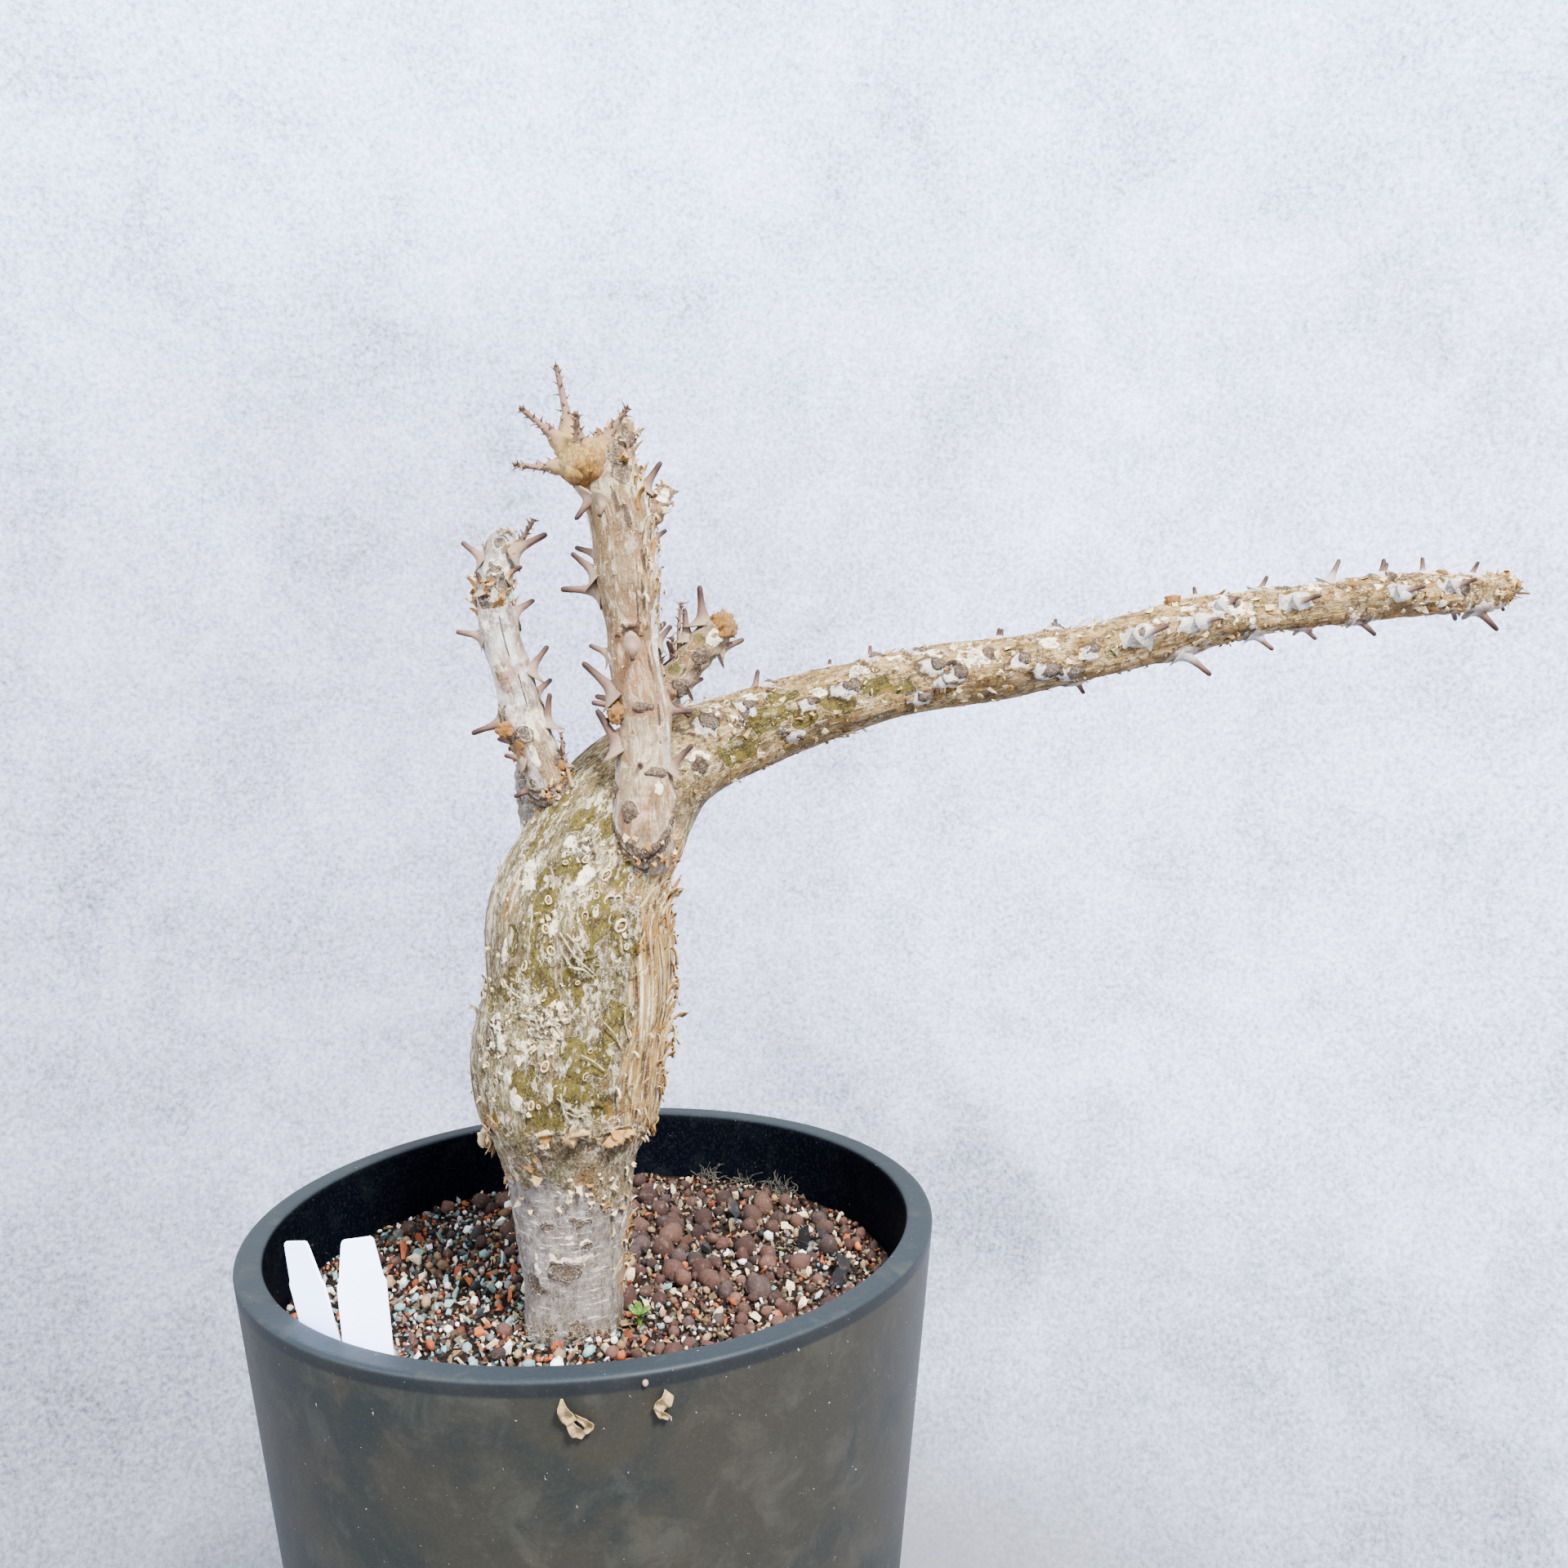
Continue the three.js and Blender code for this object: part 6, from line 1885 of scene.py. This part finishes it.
def freeSpots(random, count, sizes, taken, where):  # dart throwing: no two stones share a place
    reach = potRadius(potLook, gritLook["level"]) - potLook["wall"] - 0.6
    footX, footY, footZ, footRadius = leaderLine[2]
    found, cells = [], {}
    for x, y, r in taken:
        cells.setdefault((int(x // 6), int(y // 6)), []).append((x, y, r))
    for attempt in range(count * 14):
        if len(found) >= count:
            break
        x, y = random.uniform(-reach, reach, 2)
        r = sizes[0] + (sizes[1] - sizes[0]) * random.random() ** 1.6
        clear = math.hypot(x - footX, y - footY) >= footRadius + 0.35 * r
        clear = clear and math.hypot(x, y) <= reach - 0.75 * r
        if not clear or random.random() > where(x, y):
            continue
        column, row = int(x // 6), int(y // 6)
        near = [other for i in (-1, 0, 1) for j in (-1, 0, 1)
                for other in cells.get((column + i, row + j), ())]
        if all(math.hypot(x - other[0], y - other[1]) > 0.86 * (r + other[2]) for other in near):
            found.append((x, y, r))
            cells.setdefault((column, row), []).append((x, y, r))
    return found


def rightShare(x, y):  # 0 among the small stones at the left, 1 among the clay balls at the right
    return float(ease(-14, 16, x + 0.25 * y + 9 * math.sin(0.07 * y)))


def ballShare(x, y):  # clay balls fill the right, with some behind the trunk and along the front edge
    return max(0.02 + 0.98 * rightShare(x, y) ** 2, 0.4 * float(ease(26, 44, y)),
               0.35 * float(ease(-64, -76, y)))


def stoneTint(random, x, y):
    right = rightShare(x, y)
    colours, leftShares, rightShares = zip(*stoneColours.values())
    shares = np.array(leftShares) * (1 - right) + np.array(rightShares) * right
    colour = np.array(colours[random.choice(len(colours), p=shares / shares.sum())])
    # darker towards the back of the pot: painted shadow of the rim
    colour = colour * random.uniform(0.78, 1.34) * (1 - 0.3 * float(ease(15, 60, y)))
    return colour * (1, random.uniform(0.92, 1.06), random.uniform(0.9, 1.1))


def clearOfLabels(x, y):
    for place in labelPlaces.values():
        drop = place["shoulder"][2] - gritLook["wallLevel"]
        footX = place["shoulder"][0] + drop * math.tan(math.radians(-place["lean"]))
        turn = math.radians(place["turn"])
        across = -(x - footX) * math.sin(turn) + (y - place["shoulder"][1]) * math.cos(turn)
        aside = (x - footX) * math.cos(turn) + (y - place["shoulder"][1]) * math.sin(turn)
        if abs(across) < 1.3 and abs(aside) < labelLook["width"] / 2 + 1:
            return False
    return True


def makeGrit(look):
    random = np.random.default_rng(look["seed"])
    balls = freeSpots(random, look["balls"], look["ballSize"], [], ballShare)
    shown = [tuple(stone[:3]) for stone in shownStones]
    balls = [ball for ball in balls
             if all(math.dist(ball[:2], stone[:2]) > ball[2] + 0.8 * stone[2] for stone in shown)]
    big = freeSpots(random, look["bigChips"], look["bigChipSize"], balls + shown, lambda x, y: 0.7)
    small = freeSpots(random, look["chips"], look["chipSize"], balls + shown + big, lambda x, y: 1)
    ballShapes = shapeCollection("ball", [ballMesh(f"ball{i}", i, 2) for i in range(8)])
    chips = [chipMesh(f"chip{i}", 40 + i) for i in range(12)]
    chips += [ballMesh(f"pebble{i}", 20 + i, 1) for i in range(3)]
    chipShapes = shapeCollection("chip", chips)
    clayStone, chipStone = stoneMaterial("clayBall", 0.85, 0.0006), stoneMaterial("brightChip", 0.7, 0.0004)

    def place(name, stones, shapes, material, rise, flat, seed, tintOf):
        placed = []
        for x, y, r in stones:
            if clearOfLabels(x, y):
                level = float(gritLevel(x, y)) + 0.7 * math.sin(0.21 * x + 1) * math.cos(0.17 * y)
                point = (x, y, level + rise * r + random.uniform(-0.9, 0.5))
                scale = np.array([1, random.uniform(0.7, 1), flat]) * r * mm
                placed.append((point, scale, tintOf(x, y)))
        turns = random.uniform(-math.pi, math.pi, (len(placed), 3))
        spots = [(point, turn, scale, tint) for (point, scale, tint), turn in zip(placed, turns)]
        placeShapes(name, spots, shapes, material, "grit", Spread=0.1, Tumble=0.5, Seed=seed)

    def clayTint(x, y):
        brown = np.array(clayBrowns[random.integers(len(clayBrowns))])
        # darker at the back: painted shadow of the rim
        return brown * random.uniform(0.6, 1.5) * (1 - 0.3 * (y > 35))

    place("clay_balls", balls, ballShapes, clayStone, 0.25, 0.92, 2, clayTint)
    tintAt = {(x, y): np.array(stoneColours[key][0]) for x, y, r, key in shownStones}
    place("shown_stones", shown, chipShapes, chipStone, 0.55, 0.6, 11, lambda x, y: tintAt[x, y])
    place("large_chips", big, chipShapes, chipStone, 0.2, 0.75, 3, lambda x, y: stoneTint(random, x, y))
    place("small_chips", small, chipShapes, chipStone, 0.35, 0.85, 5, lambda x, y: stoneTint(random, x, y))
    spacing = look["underSpacing"]
    reach = potRadius(potLook, look["level"]) - potLook["wall"] - 1.8
    footX, footY, footZ, footRadius = leaderLine[2]
    under = []
    for i, column in enumerate(np.arange(-reach, reach, spacing * 0.87)):
        for row in np.arange(-reach, reach, spacing) + (i % 2) * spacing / 2:
            x, y = column + random.uniform(-0.6, 0.6), row + random.uniform(-0.6, 0.6)
            if math.hypot(x, y) < reach and math.hypot(x - footX, y - footY) > footRadius - 1:
                under.append((x, y, random.uniform(1.5, 2.1)))
    # the buried chips are painted at a sixth of their colour: painted shade in the gaps between the stones
    place("under_chips", under, chipShapes, chipStone, -0.75, 0.85, 6, lambda x,
          y: stoneTint(random, x, y) * 0.17)


makeBed(gritLook)
makeGrit(gritLook)
print("grit made")


# Seedling: a few fat, shiny leaves at the trunk's foot

seedlingLook = {"place": (12.6, -27.6), "base": 168, "top": 177.2, "stalk": 0.8, "leaf": (2.3, 1.3, 0.62),
                "leaves": 5,
                "green": (0.03, 0.08, 0.0067), "lime": (0.067, 0.147, 0.013)}


def leafMaterial(look):
    colours = (look["green"], look["lime"])
    material, shader = mottled("seedlingLeaf", 0.35, 0.5, (0.9, 3, 0.6), (0.4, 0.62), colours,
                               (0.0004, 0.5))
    shader["Subsurface Weight"].default_value = 0.15
    shader["Subsurface Radius"].default_value = (0.001, 0.002, 0.0005)
    return material


def makeSeedling(look):
    x, y = look["place"]
    base, top = look["base"], look["top"]
    stalk = [[x, y, base, look["stalk"]], [x + 0.1, y, base + 4, 0.75], [x, y, top - 1.5, 0.7],
             [x, y, top - 0.5, 0.6]]
    parts = [plainLoft(stalk, 12, 12)]
    for i in range(look["leaves"]):
        ball, faces, fields = woolBall((0, 0, 0), look["leaf"], 5, 3, 0)
        ball[:, 1] *= 1 + 0.25 * ball[:, 0] / look["leaf"][0]  # broader towards its tip
        ball[:, 2] += 0.07 * ball[:, 0] ** 2 - 0.1 * np.abs(ball[:, 1])
        ball[:, 0] += look["leaf"][0] * 0.85
        turn = Matrix.Rotation(i / look["leaves"] * 2 * math.pi + 0.4, 3, "Z")
        turn = turn @ Matrix.Rotation(-0.35 - 0.12 * (i % 3), 3, "Y")
        parts.append((ball @ np.array(turn).T + [x, y, top - 0.7 + 0.25 * (i % 2)], faces, fields))
    fuse("seedling_leaves", parts, leafMaterial(look), "leaf", "seedling")


makeSeedling(seedlingLook)


# Dead moss, rootlets and fibres: thin bent strands

strandLook = {"moss": (0.073, 0.07, 0.057), "root": (0.28, 0.22, 0.133), "fibre": (0.5, 0.4, 0.24),
              "sides": 5, "fibreGirth": 0.26, "fibreLift": 1.3,
              "tufts": [(48, 92, 46, 5), (71, 66, 60, 6.5), (60, 80, 18, 5), (66, 18, 10, 4)],
              "trunkRoots": [(0.312, 88, 9), (0.318, 80, 12), (0.322, 84, 8), (0.315, 74, 10),
                             (0.327, 86, 7), (0.309, 60, 11), (0.335, 50, 8)]}
bellyFibres = [  # [height, degrees] of each fibre's three points on the trunk
    [(298.7, 101), (294, 92), (288.1, 81)], [(298.6, 97), (296.5, 91), (293.1, 86)],
    [(291, 96), (290, 88), (287.2, 82)], [(295.7, 100), (291, 94), (289.9, 88)],
    [(254.2, 96), (251.5, 90), (247.2, 80)], [(255.5, 94), (250, 92), (245.8, 88)],
    [(250, 91), (248.5, 85), (249.2, 80)], [(278.7, 63), (275, 62), (270.6, 58)],
    [(265.9, 85), (264.5, 78), (262, 71)], [(312.6, 118), (310.5, 113), (306.9, 110)],
    [(275, 75), (272, 68), (267.9, 62)], [(284.7, 137), (282, 131), (280.1, 124)],
]


def strandMaterial(name, colour):
    colours = (tuple(0.4 * part for part in colour), colour)
    material, shader = mottled(name, 0.9, 0.1, (0.7, 3, 0.6), (0.4, 0.65), colours, (0.0002, 0.5))
    return material


def strand(random, start, heading, length, girth, droop, wander):
    spot, way = np.array(start, float), np.array(heading, float)
    points = []
    for i in range(6):
        points.append([*spot, girth * (1 - 0.1 * i)])
        way = way + random.normal(size=3) * wander + [0, 0, droop]
        way = way / np.linalg.norm(way)
        spot = spot + way * length / 5
    return plainLoft(points, 11, strandLook["sides"])


def makeStrands(look):
    random = np.random.default_rng(33)
    moss, roots, fibres = [], [], []
    limit = potRadius(potLook, 176) - potLook["wall"] - 1.5
    for x, y, count, spread in look["tufts"]:
        for i in range(count):
            px, py = x + random.normal() * spread * 0.5, y + random.normal() * spread * 0.5
            reach = math.hypot(px, py)
            if reach > limit:
                px, py = px * limit / reach, py * limit / reach
            start = (px, py, float(gritLevel(px, py)) + 1)
            heading = random.normal(size=3) * 0.7 + [0, 0, 1]
            moss.append(strand(random, start, heading, random.uniform(4, 9), 0.22, -0.08, 0.5))
    footX, footY, footZ, footRadius = leaderLine[2]
    for i in range(60):
        angle = math.radians(random.uniform(30, 330) if i % 3 else random.uniform(60, 130))
        reach = footRadius + random.uniform(-0.2, 4)
        start = (footX + reach * math.cos(angle), footY - reach * math.sin(angle),
                 175.2 + random.uniform(0, 2.2))
        heading = (random.normal(), random.normal(), random.uniform(-0.3, 0.4))
        roots.append(strand(random, start, heading, random.uniform(3, 9), random.uniform(0.12, 0.26), 0,
                            0.55))
    for share, degrees, length in look["trunkRoots"]:
        skin, out, along = leader.skinAt(share, degrees)
        heading = np.cross(along, out) * 0.9 + along * random.uniform(-0.7, 0.7) + out * 0.1
        roots.append(strand(random, skin + out * 0.5, heading, length, 0.22, 0, 0.28))
    for spots in bellyFibres:
        line = []
        for height, degrees in spots:
            skin, out, along = leader.skinWhere(2, height, degrees)
            line.append([*(skin + out * look["fibreLift"]), look["fibreGirth"]])
        fibres.append(plainLoft(line, 13, look["sides"]))
    fuse("dead_moss", moss, strandMaterial("deadMoss", look["moss"]), "grit")
    fuse("rootlets", roots, strandMaterial("dryRoot", look["root"]), "trunk_bark")
    fuse("belly_fibres", fibres, strandMaterial("dryFibre", look["fibre"]), "trunk_bark")


makeStrands(strandLook)
print("seedling, moss and rootlets made")


# Scraps on the pot's outside, and odd pieces on the grit

scrapLook = {
    "tan": (0.24, 0.167, 0.077), "tanEdge": (0.07, 0.045, 0.02),
    "pink": (0.28, 0.16, 0.133), "pinkEdge": (0.1, 0.05, 0.04), "thickness": 0.35,
    "scraps": [  # degrees round the pot, bow off its wall, and [x, height, width] down the middle
        (-2.6, 0.9, [[-4.6, 195.2, 0.5], [-4.4, 193.2, 2.6], [-3.4, 190.6, 3.6], [-2.2, 189, 2.6]]),
        (-2.6, 0.8, [[-3.4, 189.4, 1.4], [-1.2, 186.6, 3.4], [0.6, 185.2, 1.8]]),
        (-2.6, 1.1, [[-1.6, 190.4, 1], [0.8, 189.8, 1.6], [2.2, 187.8, 2.2], [0.6, 186.2, 1.2]]),
        (7.6, 1.2, [[2.4, 193.6, 3.2], [0.6, 191.8, 3.6], [-0.8, 189.8, 2.6]]),
        (7.6, 0.8, [[-1, 190.2, 1.4], [0.2, 188.4, 1.8], [2.2, 187, 1.2]]),
    ],
}


def scrapMaterial(name, colour, edge):
    material, shader = newMaterial(name, 0.75, 0.2)
    spot = placeInMm()
    soft = noiseOf(spot, 0.6, 4, 0.65)
    tinted = mixOf(rampOf(soft, 0.4, 0.65), colour, tuple(min(1, 1.7 * part) for part in colour))
    worn = rampOf(noiseOf(spot, 2, 3, 0.65), 0.45, 0.3) * 0.6
    paint(shader, mixOf(worn, tinted, edge), soft, 0.0006, 0.7)
    return material


# A leaf-like scrap: [x along the wall, height, width] down its middle, bowed off the wall
def scrapShape(degrees, bow, look, spine):
    columns = 7
    dense = np.linspace(0, 1, 15)
    keys = np.linspace(0, 1, len(spine))
    x, z, width = (np.interp(dense, keys, values) for values in zip(*spine))
    way = np.stack([np.gradient(x), np.gradient(z)], 1)
    way = way / np.linalg.norm(way, axis=1)[:, None]
    v = np.linspace(-1, 1, columns)
    flatX = x[:, None] + way[:, 1:] * v[None] * width[:, None] / 2
    flatZ = z[:, None] - way[:, :1] * v[None] * width[:, None] / 2
    off = 0.35 + bow * (v[None] ** 2) * np.sin(np.pi * dense)[:, None] ** 0.5
    off = off + 0.9 * bow * np.sin(np.pi * dense * 1.4)[:, None] ** 2
    sheets = []
    for lift in (off + look["thickness"], off):
        radius = potRadius(potLook, flatZ) + lift
        angle = math.radians(degrees) + flatX / potLook["rimRadius"]
        sheets.append(np.stack([radius * np.sin(angle), -radius * np.cos(angle), flatZ], -1).reshape(-1, 3))
    return np.concatenate(sheets), sheetFaces(len(dense), columns), {}


def makeScraps(look):
    tan = scrapMaterial("drySeedScrap", look["tan"], look["tanEdge"])
    shapes = [scrapShape(degrees, bow, look, spine) for degrees, bow, spine in look["scraps"]]
    mesh = makeMesh("pot_scraps", *pileUp(shapes))
    work = bmesh.new()
    work.from_mesh(mesh)
    bmesh.ops.recalc_face_normals(work, faces=work.faces)
    work.to_mesh(mesh)
    work.free()
    keepPiece(makePiece("pot_scraps", mesh, tan), "pot_clay")
    crumb = woolBall((11, -109.6, 197.2), (0.9, 0.8, 1), 12, 2, 1.5)
    fuse("pink_crumb", [crumb], scrapMaterial("pinkCrumb", look["pink"], look["pinkEdge"]), "pot_clay")


makeScraps(scrapLook)
print("scraps made")

for collection in list(bpy.data.collections):
    if collection.name in ("flake", "ring", "prickle", "ball", "chip"):
        for source in list(collection.objects):
            bpy.data.objects.remove(source)
        bpy.data.collections.remove(collection)

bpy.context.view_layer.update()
